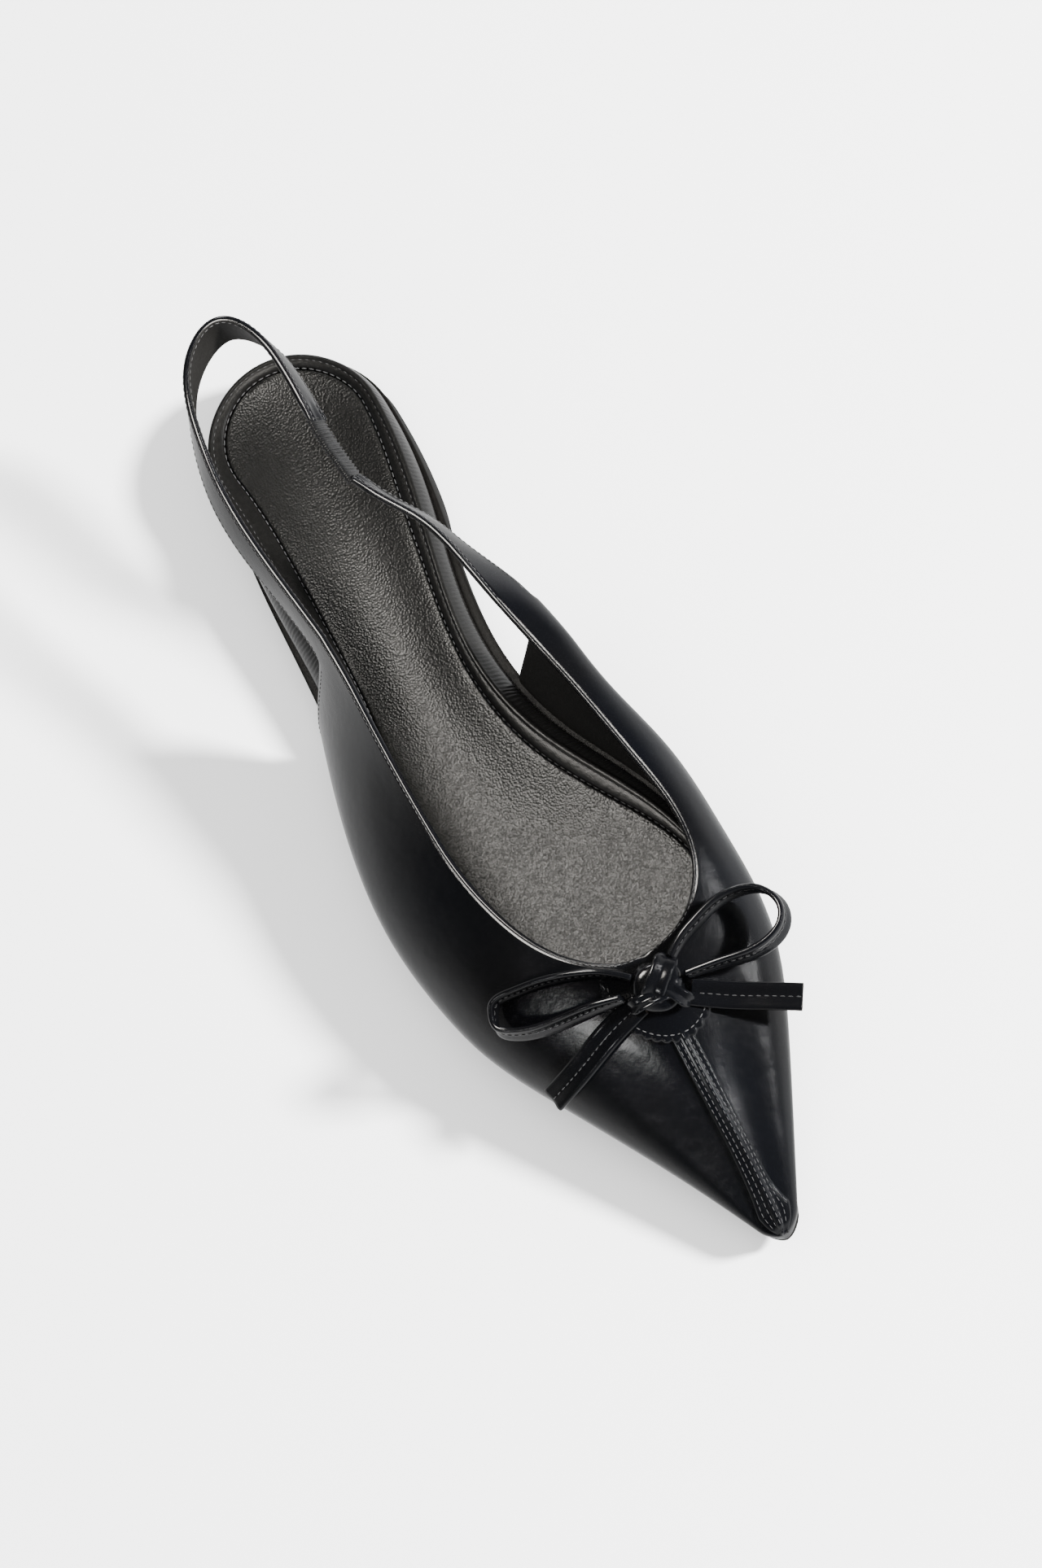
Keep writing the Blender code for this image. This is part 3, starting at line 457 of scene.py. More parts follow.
class Finish:
    """A material drawn on one shader."""

    def __init__(self, name, **settings):
        self.material = bpy.data.materials.new(name)
        self.material.use_nodes = True
        self.tree = self.material.node_tree
        self.shader = self.tree.nodes["Principled BSDF"]
        for socket, value in settings.items():
            self.feed(socket.replace("_", " "), value)

    def feed(self, socket, value):
        """Set a socket of the shader, or link a signal to it."""
        self.put(self.shader.inputs[socket], value)

    def put(self, socket, value):
        """Link a signal to a socket, or set its number or colour."""
        if isinstance(value, Signal):
            self.tree.links.new(value.socket, socket)
        elif isinstance(value, tuple) and len(value) == 3 and socket.type == "RGBA":
            socket.default_value = (*value, 1.0)
        else:
            socket.default_value = value

    def node(self, kind, settings, values, output=0):
        """Add a node: its settings first, then its sockets."""
        item = self.tree.nodes.new(kind)
        for name, value in settings.items():
            setattr(item, name, value)
        for socket, value in values.items():
            self.put(item.inputs[socket], value)
        return Signal(self, item.outputs[output])

    def place(self):
        """Place on the shoe, in metres."""
        return self.node("ShaderNodeTexCoord", {}, {}, "Object")

    def noise(self, scale, detail=2.0, roughness=0.5):
        """Soft noise of a number of patches in a metre."""
        values = {"Vector": self.place(), "Scale": scale, "Detail": detail, "Roughness": roughness}
        return self.node("ShaderNodeTexNoise", {}, values, "Fac")

    def cells(self, scale):
        """Distance from the middle of the nearest cell."""
        values = {"Vector": self.place(), "Scale": scale}
        return self.node("ShaderNodeTexVoronoi", {"feature": "F1"}, values, "Distance")

    def fold(self, first, second, factor):
        """A colour between two colours."""
        return self.node("ShaderNodeMix", {"data_type": "RGBA"}, {0: factor, 6: first, 7: second}, 2)

    def relief(self, height, depth, under=None):
        """A bump of a depth in metres, laid over another one."""
        values = {"Height": height, "Distance": depth, "Strength": 1.0}
        if under:
            values["Normal"] = under
        return self.node("ShaderNodeBump", {}, values, "Normal")

    def from_edge(self):
        """Run along a piece and distance from its nearest cut edge, both in millimetres."""
        uv = self.node("ShaderNodeUVMap", {}, {}, "UV")
        split = self.tree.nodes.new("ShaderNodeSeparateXYZ")
        self.put(split.inputs[0], uv)
        return Signal(self, split.outputs[0]), Signal(self, split.outputs[1])


print("finish maker ready")

# %% [markdown]
# ## Polished leather
# The upper is a corrected leather with a hard glossy coat. Close up it has a fine grain that
# breaks the highlights, and shallow waves where the hide was pulled over the last. Along each
# cut edge the leather is turned over and stitched down, which leaves a bead and then a groove.
# The grain is two noises in the bump, and the edge is read from the piece's own edge distance.

# %% Polished leather
BEAD_WIDE, GROOVE_AT, GROOVE_HALF = 0.4, 0.9, 0.5


def polished_leather(name, edge_groove=False, grain=1.0, gloss=0.12):
    finish = Finish(name, Coat_Weight=0.12, Coat_Roughness=0.05)
    pores = finish.noise(2600.0, 3.0, 0.6)
    pulls = finish.noise(420.0, 2.0)
    waves = finish.noise(55.0, 1.0)
    surface = finish.relief(waves, 0.35 * MM)
    surface = finish.relief(pulls, 0.05 * grain * MM, surface)
    surface = finish.relief(pores, 0.018 * grain * MM, surface)
    if edge_groove:
        run, edge = finish.from_edge()
        bead = (1.0 - edge / BEAD_WIDE).clamped()
        groove = (1.0 - (edge - GROOVE_AT).size() / GROOVE_HALF).clamped()
        surface = finish.relief(bead * 0.1 - groove, 0.20 * MM, surface)
    finish.feed("Roughness", gloss + pulls * 0.07 + pores * 0.05)
    tint = finish.fold((0.0009, 0.0012, 0.0021), (0.0017, 0.0016, 0.0015), finish.noise(30.0, 2.0))
    finish.feed("Base Color", tint)
    finish.feed("Normal", surface)
    return finish.material


LEATHER = polished_leather("polished upper leather", edge_groove=True)
RIBBON = polished_leather("polished ribbon leather", grain=0.8, gloss=0.11)
print("leathers:", LEATHER.name, "and", RIBBON.name)

# %% [markdown]
# ## Sock, footbed cover and lining
# The sock is a pebbled leather. Its pebbles are the cells of a Voronoi texture, high in their
# middles, and a finer noise creases them. Its colour is darker in the dips between the pebbles,
# a painted shade. The footbed's cover was pulled round its flank, which leaves lines that run up
# the flank, so that wave is read along the flank and fades on the rim.
# The lining is thin and matte, and its weave is only a fine noise.

# %% Sock, cover and lining
def sock_leather():
    """Pebbled leather of the sock: small round pebbles and a soft sheen."""
    finish = Finish("pebbled sock leather")
    pebbles = finish.cells(1700.0)
    creases = finish.noise(2300.0, 2.0, 0.6)
    height = (1.0 - pebbles) + creases * 0.2
    surface = finish.relief(finish.noise(60.0, 1.0), 0.04 * MM)
    finish.feed("Normal", finish.relief(height, 0.11 * MM, surface))
    # painted shade: darker in the dips between the pebbles, lighter on their crowns
    tint = finish.fold((0.0007, 0.0007, 0.0006), (0.0036, 0.0035, 0.0031), 1.0 - pebbles)
    finish.feed("Base Color", tint)
    finish.feed("Roughness", 0.32 + pebbles * 0.10)
    return finish.material


def wrinkled_leather():
    """The footbed's cover, pulled round its flank in fine wrinkles."""
    finish = Finish("wrinkled footbed leather", Specular_IOR_Level=0.30, Coat_Roughness=0.12)
    run, edge = finish.from_edge()
    wrinkles = finish.noise(900.0, 3.0, 0.65)
    pulls = (run * 5.2 + finish.noise(160.0, 2.0) * 9.0).wave()
    flank = (edge / 2.0).clamped()
    finish.feed("Coat Weight", flank * 0.9)
    surface = finish.relief(wrinkles, 0.11 * MM)
    finish.feed("Normal", finish.relief(pulls * flank, 0.12 * MM, surface))
    finish.feed("Base Color", finish.fold((0.0014, 0.0014, 0.0013), (0.0040, 0.0038, 0.0035), wrinkles))
    finish.feed("Roughness", 0.30 + wrinkles * 0.14)
    return finish.material


def lining_leather():
    """Thin matte lining inside the upper and the straps."""
    finish = Finish("matte lining leather")
    weave = finish.noise(1800.0, 3.0, 0.6)
    finish.feed("Normal", finish.relief(weave, 0.06 * MM))
    finish.feed("Base Color", finish.fold((0.0024, 0.0023, 0.0021), (0.0060, 0.0056, 0.0050), weave))
    finish.feed("Roughness", 0.48 + weave * 0.16)
    return finish.material


SOCK, COVER, LINING = sock_leather(), wrinkled_leather(), lining_leather()
print("inside finishes:", [finish.name for finish in (SOCK, COVER, LINING)])

# %% [markdown]
# ## Rubber, elastic, thread and cut edges
# Small pieces need their finishes too, for they lie close to the eye in a crop. Rubber barely
# mirrors, so its specular level is low. The thread is paler where its twist's noise is high, a
# painted highlight on its raised parts. The cut end of a ribbon shows the tan core of the leather.

# %% Rubber, elastic, thread and cut edge
def sole_rubber():
    """Moulded rubber with a fine speckle and soft scuffs."""
    finish = Finish("moulded sole rubber", Specular_IOR_Level=0.15)
    speckle = finish.noise(3200.0, 2.0)
    scuffs = finish.noise(240.0, 4.0, 0.7)
    finish.feed("Normal", finish.relief(speckle + scuffs * 0.5, 0.05 * MM))
    finish.feed("Base Color", finish.fold((0.0010, 0.0010, 0.0009), (0.0032, 0.0028, 0.0024), scuffs))
    finish.feed("Roughness", 0.42 + scuffs * 0.22)
    return finish.material


def gathered_elastic():
    """Glossy leather gathered over elastic."""
    finish = Finish("gathered elastic leather", Coat_Weight=0.15, Coat_Roughness=0.10)
    threads = finish.noise(2400.0, 2.0)
    finish.feed("Normal", finish.relief(threads, 0.05 * MM))
    finish.feed("Base Color", finish.fold((0.0010, 0.0010, 0.0012), (0.0036, 0.0036, 0.0035), threads))
    finish.feed("Roughness", 0.22 + threads * 0.14)
    return finish.material


def thread_with_painted_highlight(name, dark, light):
    """Twisted thread, paler on the raised parts of its twist: a painted highlight."""
    finish = Finish(name, Sheen_Weight=0.2)
    twist = finish.noise(5200.0, 1.0)
    finish.feed("Normal", finish.relief(twist, 0.04 * MM))
    # painted highlight: the thread's colour is paler where its twist's bump is high
    finish.feed("Base Color", finish.fold((dark,) * 3, (light,) * 3, twist))
    finish.feed("Roughness", 0.28 + twist * 0.2)
    return finish.material


def raw_edge():
    """The tan core of the leather where it is cut square."""
    finish = Finish("cut leather edge")
    fibre = finish.noise(2600.0, 3.0)
    finish.feed("Normal", finish.relief(fibre, 0.06 * MM))
    finish.feed("Base Color", finish.fold((0.010, 0.0075, 0.0052), (0.034, 0.025, 0.018), fibre))
    finish.feed("Roughness", 0.5 + fibre * 0.2)
    return finish.material


RUBBER, GATHERED, RAW = sole_rubber(), gathered_elastic(), raw_edge()
THREAD = thread_with_painted_highlight("waxed grey thread", 0.012, 0.048)
BLACK_THREAD = thread_with_painted_highlight("waxed black thread", 0.002, 0.012)
print("finishes:", len(bpy.data.materials))

# %% [markdown]
# ## Helpers for pieces
# Most pieces of a shoe are sheets laid over a form. A grid primitive is such a sheet, flat at
# first. Its own x and y say how far a point lies along and across, and the shoe's surface says
# where that point goes. Modifiers then give the sheet its thickness and round its edges.

# %% Grid, merge and modifier helpers
def pick(piece):
    """Select one piece alone."""
    bpy.ops.object.select_all(action="DESELECT")
    piece.select_set(True)
    bpy.context.view_layer.objects.active = piece


def laid_grid(name, rows, columns, place, measure=None):
    """Lay a grid primitive on a surface. The measures become its UV map."""
    bpy.ops.object.select_all(action="DESELECT")
    bpy.ops.mesh.primitive_grid_add(x_subdivisions=columns, y_subdivisions=rows, size=1.0)
    piece = bpy.context.object
    piece.name = piece.data.name = name
    spots = []
    for vertex in piece.data.vertices:
        spots.append((round((vertex.co.y + 0.5) * rows), round((vertex.co.x + 0.5) * columns)))
    if measure:
        values = {spot: measure(*spot) for spot in set(spots)}
        uv = piece.data.uv_layers.active.data
        for loop in piece.data.loops:
            uv[loop.index].uv = values[spots[loop.vertex_index]]
    for vertex, spot in zip(piece.data.vertices, spots):
        vertex.co = place(*spot)
    return piece


def join(name, pieces):
    """Join pieces into one mesh."""
    pick(pieces[0])
    for piece in pieces[1:]:
        piece.select_set(True)
    bpy.ops.object.join()
    whole = bpy.context.object
    whole.name = whole.data.name = name
    return whole


def edit(piece, *steps):
    """Run edit operators one after another on every face of a piece."""
    pick(piece)
    bpy.ops.object.mode_set(mode="EDIT")
    bpy.ops.mesh.select_all(action="SELECT")
    for step in steps:
        step()
    bpy.ops.object.mode_set(mode="OBJECT")


def merge_doubles():
    bpy.ops.mesh.remove_doubles(threshold=0.01 * MM)


def face_outwards():
    bpy.ops.mesh.normals_make_consistent(inside=False)


def fill_openings():
    bpy.ops.mesh.select_all(action="DESELECT")
    bpy.ops.mesh.select_non_manifold(extend=False)
    bpy.ops.mesh.edge_face_add()
    bpy.ops.mesh.select_all(action="SELECT")


def weld(piece):
    """Merge doubled points and turn the faces outwards."""
    edit(piece, merge_doubles, face_outwards)


def cap_ends(piece):
    """Close the open ends of a tube."""
    edit(piece, fill_openings, face_outwards)


def turn_over(piece):
    """Turn a sheet's faces to its other side."""
    edit(piece, bpy.ops.mesh.flip_normals)
    print("turned over:", piece.name)


def work_in(piece, kind, **settings):
    """Add a modifier and apply it."""
    pick(piece)
    modifier = piece.modifiers.new(kind.title(), kind)
    for key, value in settings.items():
        setattr(modifier, key, value)
    bpy.ops.object.modifier_apply(modifier=modifier.name)


def soften(piece, level=1):
    """Round a piece by subdivision."""
    work_in(piece, "SUBSURF", levels=level, render_levels=level)


def dress(piece, finishes, slot, *nodes):
    """Give a piece its finishes and its place in the shoe."""
    for finish in finishes:
        piece.data.materials.append(finish)
    pick(piece)
    bpy.ops.object.shade_smooth()
    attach(piece, "root")
    if nodes:
        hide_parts(*nodes)
    print(piece.name, "faces:", len(piece.data.polygons))


def laid_rows(name, rows, measure=None):
    """Lay a grid over rows of points."""
    size = len(rows) - 1, len(rows[0]) - 1
    return laid_grid(name, *size, lambda row, column: rows[row][column], measure)


def ring_tube(name, rings, measure=None):
    """Lay a grid over closed rings, so that its two long sides meet."""
    piece = laid_rows(name, [[*ring, ring[0]] for ring in rings], measure)
    weld(piece)
    return piece


print("piece helpers ready")

# %% [markdown]
# ## Outsole
# The outsole is a thin moulded rubber sheet with a low heel, an arch and toe spring. It is made as
# a tube of closed sections from heel to tip, pinched shut at both ends, and its edge is rounded by
# extra points in the section.

# %% Outsole
def between(inner, outer, share, height):
    """A point on the line across the shoe from an inner to an outer edge point."""
    x, y = inner + (outer - inner) * share
    return (x, y, height)


EDGE_STEPS, FLAT_STEPS, SOLE_EDGE_ROUND = 5, 8, 0.8 * MM


def outsole_ring(travel):
    """Section of the outsole: the underside, the outer edge, the top and the inner edge."""
    along = along_of(travel)
    bottom, top = sole_bottom(along), sole_top(along)
    inner, outer = (inset_edge(travel, side, SOLE_EDGE_ROUND) for side in (0, 1))
    edge = []
    for step in range(1, EDGE_STEPS + 1):
        angle = 0.5 * math.pi * step / EDGE_STEPS
        inset = SOLE_EDGE_ROUND * (1.0 - math.sin(angle))
        edge.append((inset, bottom + SOLE_EDGE_ROUND * (1.0 - math.cos(angle))))
    edge.append((0.15 * MM, 0.5 * (bottom + top)))
    for inset, sink in ((0.0, 0.5), (0.12 * MM, 0.15), (0.5 * SOLE_EDGE_ROUND, 0.0)):
        edge.append((inset, top - sink * SOLE_EDGE_ROUND))
    ring = [between(inner, outer, share, bottom) for share in spread(0.0, 1.0, FLAT_STEPS)]
    ring += [(*inset_edge(travel, 1, inset), height) for inset, height in edge]
    ring += [between(inner, outer, share, top) for share in spread(1.0, 0.0, FLAT_STEPS)]
    return ring + [(*inset_edge(travel, 0, inset), height) for inset, height in reversed(edge)]


def shoe_travels(last, round_steps=20, side_steps=84):
    """Travel values round the heel and on to the last one."""
    return spread(0.0, 1.0, round_steps)[:-1] + spread(1.0, last, side_steps)


travels = shoe_travels(2.0) + spread(2.0, 3.0, 12)[1:]
outsole = ring_tube("outsole_rubber", [outsole_ring(travel) for travel in travels])
dress(outsole, [RUBBER], "sole_rubber", "outsole")

# %% [markdown]
# ## Footbed
# The footbed is a moulded pad wrapped in leather. Seen from above it has a rim, a smooth margin
# with a row of stitches, and a hollow for the sock. Its flank shows at the waist, where the cover
# is pulled round in fine wrinkles. It is again a tube of sections, with the flank bulged.

# %% Footbed sections
DISH_STEPS, FLANK_STEPS = 26, 7
MARGIN_LINE = (
    # share of the way from the rim's crown to the sock, share of the way down
    (0.12, 0.0), (0.22, 0.28), (0.32, 0.30), (0.50, 0.34), (0.78, 0.62), (0.93, 0.86), (1.0, 1.12),
)


def dish_line(inner, outer, height, depth, first, last):
    """Points of a hollow line across the shoe, from share first to share last."""
    points = []
    for share in spread(first, last, DISH_STEPS):
        sag = depth * max(4.0 * share * (1.0 - share), 0.0) ** 1.5
        points.append(between(inner, outer, share, height - sag))
    return points


def footbed_foot(along):
    """How far the footbed's bottom edge lies inside the sole's edge."""
    return (FEATHER_INSET + WALL + GAP) * (0.25 + 0.75 * smooth_step(along, 0.12, 0.36))


def footbed_shape(travel):
    """Edges and heights that the footbed and the sock share at one place."""
    along = along_of(travel)
    rim_in, rim_out, sock_in, sock_out = margin_curve(along)
    rim = rim_height(along)
    shallow = 1.0 - 0.72 * smooth_step(along, 0.35, 0.65)
    hollow = shallow * (1.0 - smooth_step(along, 0.80, FOOTBED_END))
    return {
        "bottom": sole_top(along) + GAP,
        "foot": (footbed_foot(along),) * 2,
        "rim": (rim_in, rim_out),
        "sock": (sock_in, sock_out),
        "rim height": rim,
        "sock height": rim - MARGIN_DROP * (1.0 - 0.5 * smooth_step(along, 0.4, 0.65)),
        "dish": DISH_DEPTH * hollow * roundness(travel),
    }


def flank_points(travel, side, shape):
    """Inset and height from the foot up the flank, over the rim and down to the sock."""
    foot, rim, sock = shape["foot"][side], shape["rim"][side], shape["sock"][side]
    low, high, bed = shape["bottom"], shape["rim height"], shape["sock height"]
    shoulder = high - 0.9 * RIM_ROUND
    points = []
    for share in spread(0.0, 1.0, FLANK_STEPS):
        bulge = 0.55 * math.sin(math.pi * share) * (rim - foot)
        inset = foot + (rim - foot) * share ** 1.3 - 0.35 * bulge
        points.append((inset, low + (shoulder - low) * share))
    for share in (0.35, 0.7, 1.0):
        angle = 0.5 * math.pi * share
        height = shoulder + 0.9 * RIM_ROUND * math.sin(angle)
        points.append((rim + RIM_ROUND * (1.0 - math.cos(angle)), height))
    crown = rim + RIM_ROUND
    margin = sock - crown
    for share, sink in MARGIN_LINE:
        points.append((crown + margin * share, high + (bed - high) * sink))
    return [(*inset_edge(travel, side, inset), height) for inset, height in points]


def footbed_ring(travel):
    """Section of the footbed: the outer flank, the bed under the sock and the inner flank."""
    shape = footbed_shape(travel)
    inner, outer = (flank_points(travel, side, shape) for side in (0, 1))
    floor = shape["sock height"] - SOCK_THICKNESS - GAP
    sock_in, sock_out = (inset_edge(travel, side, shape["sock"][side]) for side in (0, 1))
    return outer + dish_line(sock_in, sock_out, floor, shape["dish"], 1.0, 0.0) + inner[::-1]


def pointed_end(ring, reach):
    """Bring the last ring together on the centre line a little further on."""
    centre = sum(point[0] for point in ring) / len(ring)
    furthest = max(point[1] for point in ring)
    lift = toe_lift(FOOTBED_END + reach / LENGTH) - toe_lift(FOOTBED_END)
    return [(centre, furthest + reach, point[2] + lift) for point in ring]


def bed_rings(ring_at, reach):
    """Rings from the heel to a pointed end under the vamp."""
    rings = [ring_at(travel) for travel in shoe_travels(travel_of(FOOTBED_END), 20, 76)]
    return rings + [pointed_end(rings[-1], reach)]


def bed_measure(rings, flank_count):
    """Run round the footbed, and how deep a point lies on the flank."""
    def measure(row, column):
        place = rings[row][column % len(rings[0])]
        side = min(column, len(rings[0]) - 1 - column)
        deep = max(flank_count - side, 0) / flank_count
        return (place[1] / MM, 4.0 * deep)
    return measure


rim_heights = [round(rim_height(along) / MM, 1) for along in (0.1, 0.66)]
print("rim over the floor at the heel and the ball in mm:", rim_heights)

# %% Build the footbed
footbed_rings = bed_rings(footbed_ring, FOOTBED_REACH)
footbed = ring_tube("footbed_pad", footbed_rings, bed_measure(footbed_rings, FLANK_STEPS + 1))
soften(footbed)
dress(footbed, [COVER], "black_leather", "footbed")

# %% [markdown]
# ## Sock
# The sock is a thin sheet of leather glued into the footbed's hollow, so it takes the hollow's
# shape. It is a flat tube: one line of points under it, one on it, and a soft edge between them.

# %% Sock
SOFT_EDGE = 0.35 * MM


def sock_ring(travel):
    """Section of the sock."""
    shape = footbed_shape(travel)
    insets = [inset + GAP for inset in shape["sock"]]
    inner, outer = (inset_edge(travel, side, insets[side]) for side in (0, 1))
    top = shape["sock height"]
    soft_in, soft_out = (inset_edge(travel, side, insets[side] + SOFT_EDGE) for side in (0, 1))
    low = dish_line(inner, outer, top - SOCK_THICKNESS, shape["dish"], 0.0, 1.0)
    high = dish_line(soft_in, soft_out, top, shape["dish"], 1.0, 0.0)
    return low + [(*outer, top - SOFT_EDGE)] + high + [(*inner, top - SOFT_EDGE)]


sock = ring_tube("sock_sheet", bed_rings(sock_ring, RECESS_REACH - GAP))
soften(sock)
dress(sock, [SOCK], "sock_leather", "insole_sock")

# %% [markdown]
# ## The last and the upper
# The upper is leather pulled over a last, so the last's surface is its outer face. Each cross
# section of the last is a smooth curve from the feather on one side over to the other. The
# quarters and the vamp are one sheet with no seam at the sides. The leather is turned in between
# sole and footbed, so the surface starts a little under the sole's top, where no light gets past.

# %% Surface of the last
TURNED_IN = 1.9 * MM
section_cache = {}


def last_section(travel):
    """Section of the last across the shoe, from the inner feather over to the outer one."""
    along = along_of(travel)
    tip = roundness(travel) if travel > 2.0 else 1.0
    inner, outer = outline_curve(along)
    over_in, wide_in, shoulder_in, high_in = last_inner(along)
    over_out, wide_out, shoulder_out, high_out = last_outer(along)
    ridge, top = last_ridge(along)
    feather = sole_top(along) - TURNED_IN
    return natural_spline(TURNS, [
        ((inner + FEATHER_INSET) * tip, feather), ((inner - over_in) * tip, wide_in),
        (shoulder_in * tip, high_in), (ridge * tip, top), (shoulder_out * tip, high_out),
        ((outer + over_out) * tip, wide_out), ((outer - FEATHER_INSET) * tip, feather),
    ])


def last_point(travel, turn):
    """Point on the last's surface."""
    key = round(travel, 9)
    if key not in section_cache:
        section_cache[key] = last_section(travel)
    x, z = section_cache[key](turn)
    return np.array((x, along_y(along_of(travel)), z))


def last_normal(travel, turn):
    """Outward direction of the last at one place."""
    toeward = last_point(travel + 1e-3, turn) - last_point(travel - 1e-3, turn)
    over = last_point(travel, turn + 1e-3) - last_point(travel, turn - 1e-3)
    normal = np.cross(over, toeward)
    return normal / max(np.linalg.norm(normal), 1e-12)


def opening_rows(side, rear_rows, sweep_rows):
    """Rows of one quarter: travel and turn at the feather and at the topline, and their bow."""
    feather, topline, rear_top, rear_foot, sweep_start, sweep_round = OPENING[side]
    tops = [(along, topline) for along in spread(rear_top, sweep_start, rear_rows)[:-1]]
    for i in range(sweep_rows + 1):
        angle = 0.5 * math.pi * i / sweep_rows
        along = sweep_start + (THROAT_FRONT - sweep_start) * math.sin(angle) ** sweep_round
        tops.append((along, RIDGE_TURN + (topline - RIDGE_TURN) * math.cos(angle) ** sweep_round))
    path = [last_point(travel_of(along), turn) for along, turn in tops]
    lengths = [0.0]
    for near, far in zip(path, path[1:]):
        lengths.append(lengths[-1] + float(np.linalg.norm(far - near)))
    rows = []
    for (along, turn), run in zip(tops, lengths):
        share = run / lengths[-1]
        foot = rear_foot + (THROAT_FOOT - rear_foot) * share
        rows.append((travel_of(foot), feather, travel_of(along), turn, 1.0 + (1.0 - share) ** 2))
    return rows


def vamp_rows(side, side_rows, tip_rows):
    """Rows of one half of the vamp, from the throat to the tip of the toe."""
    feather = OPENING[side][0]
    top_first, foot_first = travel_of(THROAT_FRONT), travel_of(THROAT_FOOT)
    rows = []
    for i in range(1, side_rows + 1):
        share = i / side_rows
        top = top_first + (2.0 - top_first) * share
        foot = foot_first + (2.0 - foot_first) * share
        rows.append((foot, feather, top, RIDGE_TURN, 1.0))
    for travel in spread(2.0, 3.0, tip_rows)[1:]:
        rows.append((travel, feather, travel, RIDGE_TURN, 1.0))
    return rows


def row_spot(row, share):
    """Travel and turn at one share of a row, 0 at the feather and 1 at the topline."""
    foot_travel, foot_turn, top_travel, top_turn, bow = row
    travel = foot_travel + (top_travel - foot_travel) * (1.0 - (1.0 - share) ** bow)
    return travel, foot_turn + (top_turn - foot_turn) * share


def row_point(row, share, depth=0.0):
    """A point of one row, at a depth under the surface."""
    if row[0] >= 3.0:
        foot, top = last_point(3.0, OPENING["inner"][0]), last_point(3.0, RIDGE_TURN)
        return foot + (top - foot) * share
    travel, turn = row_spot(row, share)
    place = last_point(travel, turn)
    return place - last_normal(travel, turn) * depth if depth else place


throat = last_point(travel_of(THROAT_FRONT), RIDGE_TURN)
print("front of the throat in mm:", np.round(throat / MM, 1))

# %% [markdown]
# ## Paths of the straps
# Each strap is cut in one with its quarter. A band is read from its table as a row of frames: its
# middle, which way its width stands, which way its face looks, and how wide it is there. Its first
# frame is set on the quarter's own rear edge, so that band and quarter meet without a step.

# %% Paths of the straps
UPWARD = np.array((0.0, 0.0, 1.0))


def band_frames(rows, count):
    """Middles, upright and outward directions and widths along a band."""
    rows = np.array(rows, float)
    knots = [0.0]
    for near, far in zip(rows, rows[1:]):
        knots.append(knots[-1] + float(np.linalg.norm((far - near)[:3])))
    curve = natural_spline([knot / knots[-1] for knot in knots], rows)
    frames = []
    for share in spread(0.0, 1.0, count):
        *place, lean, wide = curve(share)
        run = curve(min(share + 1e-3, 1.0))[:3] - curve(max(share - 1e-3, 0.0))[:3]
        run = run / np.linalg.norm(run)
        outward = np.cross(UPWARD, run)
        outward = outward / np.linalg.norm(outward)
        over = np.cross(run, outward)
        lean = math.radians(lean)
        tall = over * math.cos(lean) + outward * math.sin(lean)
        flat = outward * math.cos(lean) - over * math.sin(lean)
        frames.append((np.array(place), tall, flat, wide, share * knots[-1]))
    return frames


def strap_rows(table):
    """Rows of a strap's table in metres."""
    return [(across * HEEL_WIDTH, along_y(along), height * STRAP_HEIGHT, lean, wide)
            for across, along, height, lean, wide in table]


def quarter_end(side):
    """Share of the rear row where its strap's lower edge starts, and the strap's first row."""
    row = opening_rows(side, 1, 1)[0]
    top = row_point(row, 1.0, 0.5 * WALL)
    drop, low = 0.0, top
    while np.linalg.norm(top - low) < STRAP_WIDTH:
        drop += 0.005
        low = row_point(row, 1.0 - drop, 0.5 * WALL)
    lean = -math.degrees(math.atan2(abs(low[0]) - abs(top[0]), top[2] - low[2]))
    return 1.0 - drop, (*(0.5 * (top + low)), lean, 1.0)


SPLIT, STRAP_FRAMES = {}, {}
for side, table in (("outer", BACK_STRAP), ("inner", FRONT_STRAP)):
    SPLIT[side], first = quarter_end(side)
    rows = [first] + strap_rows(table) if side == "outer" else strap_rows(table) + [first]
    STRAP_FRAMES[side] = band_frames(rows, 150 if side == "outer" else 46)


def from_quarter(side):
    """Frames of a strap, counted from its quarter on."""
    return STRAP_FRAMES[side] if side == "outer" else STRAP_FRAMES[side][::-1]


print("strap starts at share:", {side: round(share, 3) for side, share in SPLIT.items()})

# %% [markdown]
# ## The sheet of the upper
# The sheet is made of four grids that share their border points: two halves of the shoe and two
# straps. Where a quarter runs on into its strap, the lines are eased along their run alone, so
# the joint is smooth and the sheet doesn't shrink. The welded sheet then gets its wall, with the
# lining inside, and one subdivision. Its UV map holds the distance to the cut edge, which the
# leather's bead and groove are drawn from.

# %% Points of the quarters, the vamp and the straps
LOWER_COLUMNS, STRAP_COLUMNS = 20, 10
COLUMNS = LOWER_COLUMNS + STRAP_COLUMNS
PLEAT_REACH, PLEAT_DEPTH, CROWN = 7.0 * MM, 0.55 * MM, 0.22 * MM


def column_share(side, column):
    """Share of a row at one column, with the strap's own columns at the top."""
    if column <= LOWER_COLUMNS:
        return SPLIT[side] * column / LOWER_COLUMNS
    return SPLIT[side] + (1.0 - SPLIT[side]) * (column - LOWER_COLUMNS) / STRAP_COLUMNS


UPPER_ROWS = {side: opening_rows(side, *counts) + vamp_rows(side, 44, 10)
              for side, counts in (("inner", (26, 32)), ("outer", (24, 38)))}
QUARTER_ROWS = {"inner": 59, "outer": 63}


def half_points(side):
    """Points of one quarter and its half of the vamp. Both halves share the points of the tip."""
    shares = [column_share(side, k) for k in range(COLUMNS + 1)]
    points = [[row_point(row, share) for share in shares] for row in UPPER_ROWS[side][:-1]]
    return points + [[row_point(UPPER_ROWS[side][-1], k / COLUMNS) for k in range(COLUMNS + 1)]]


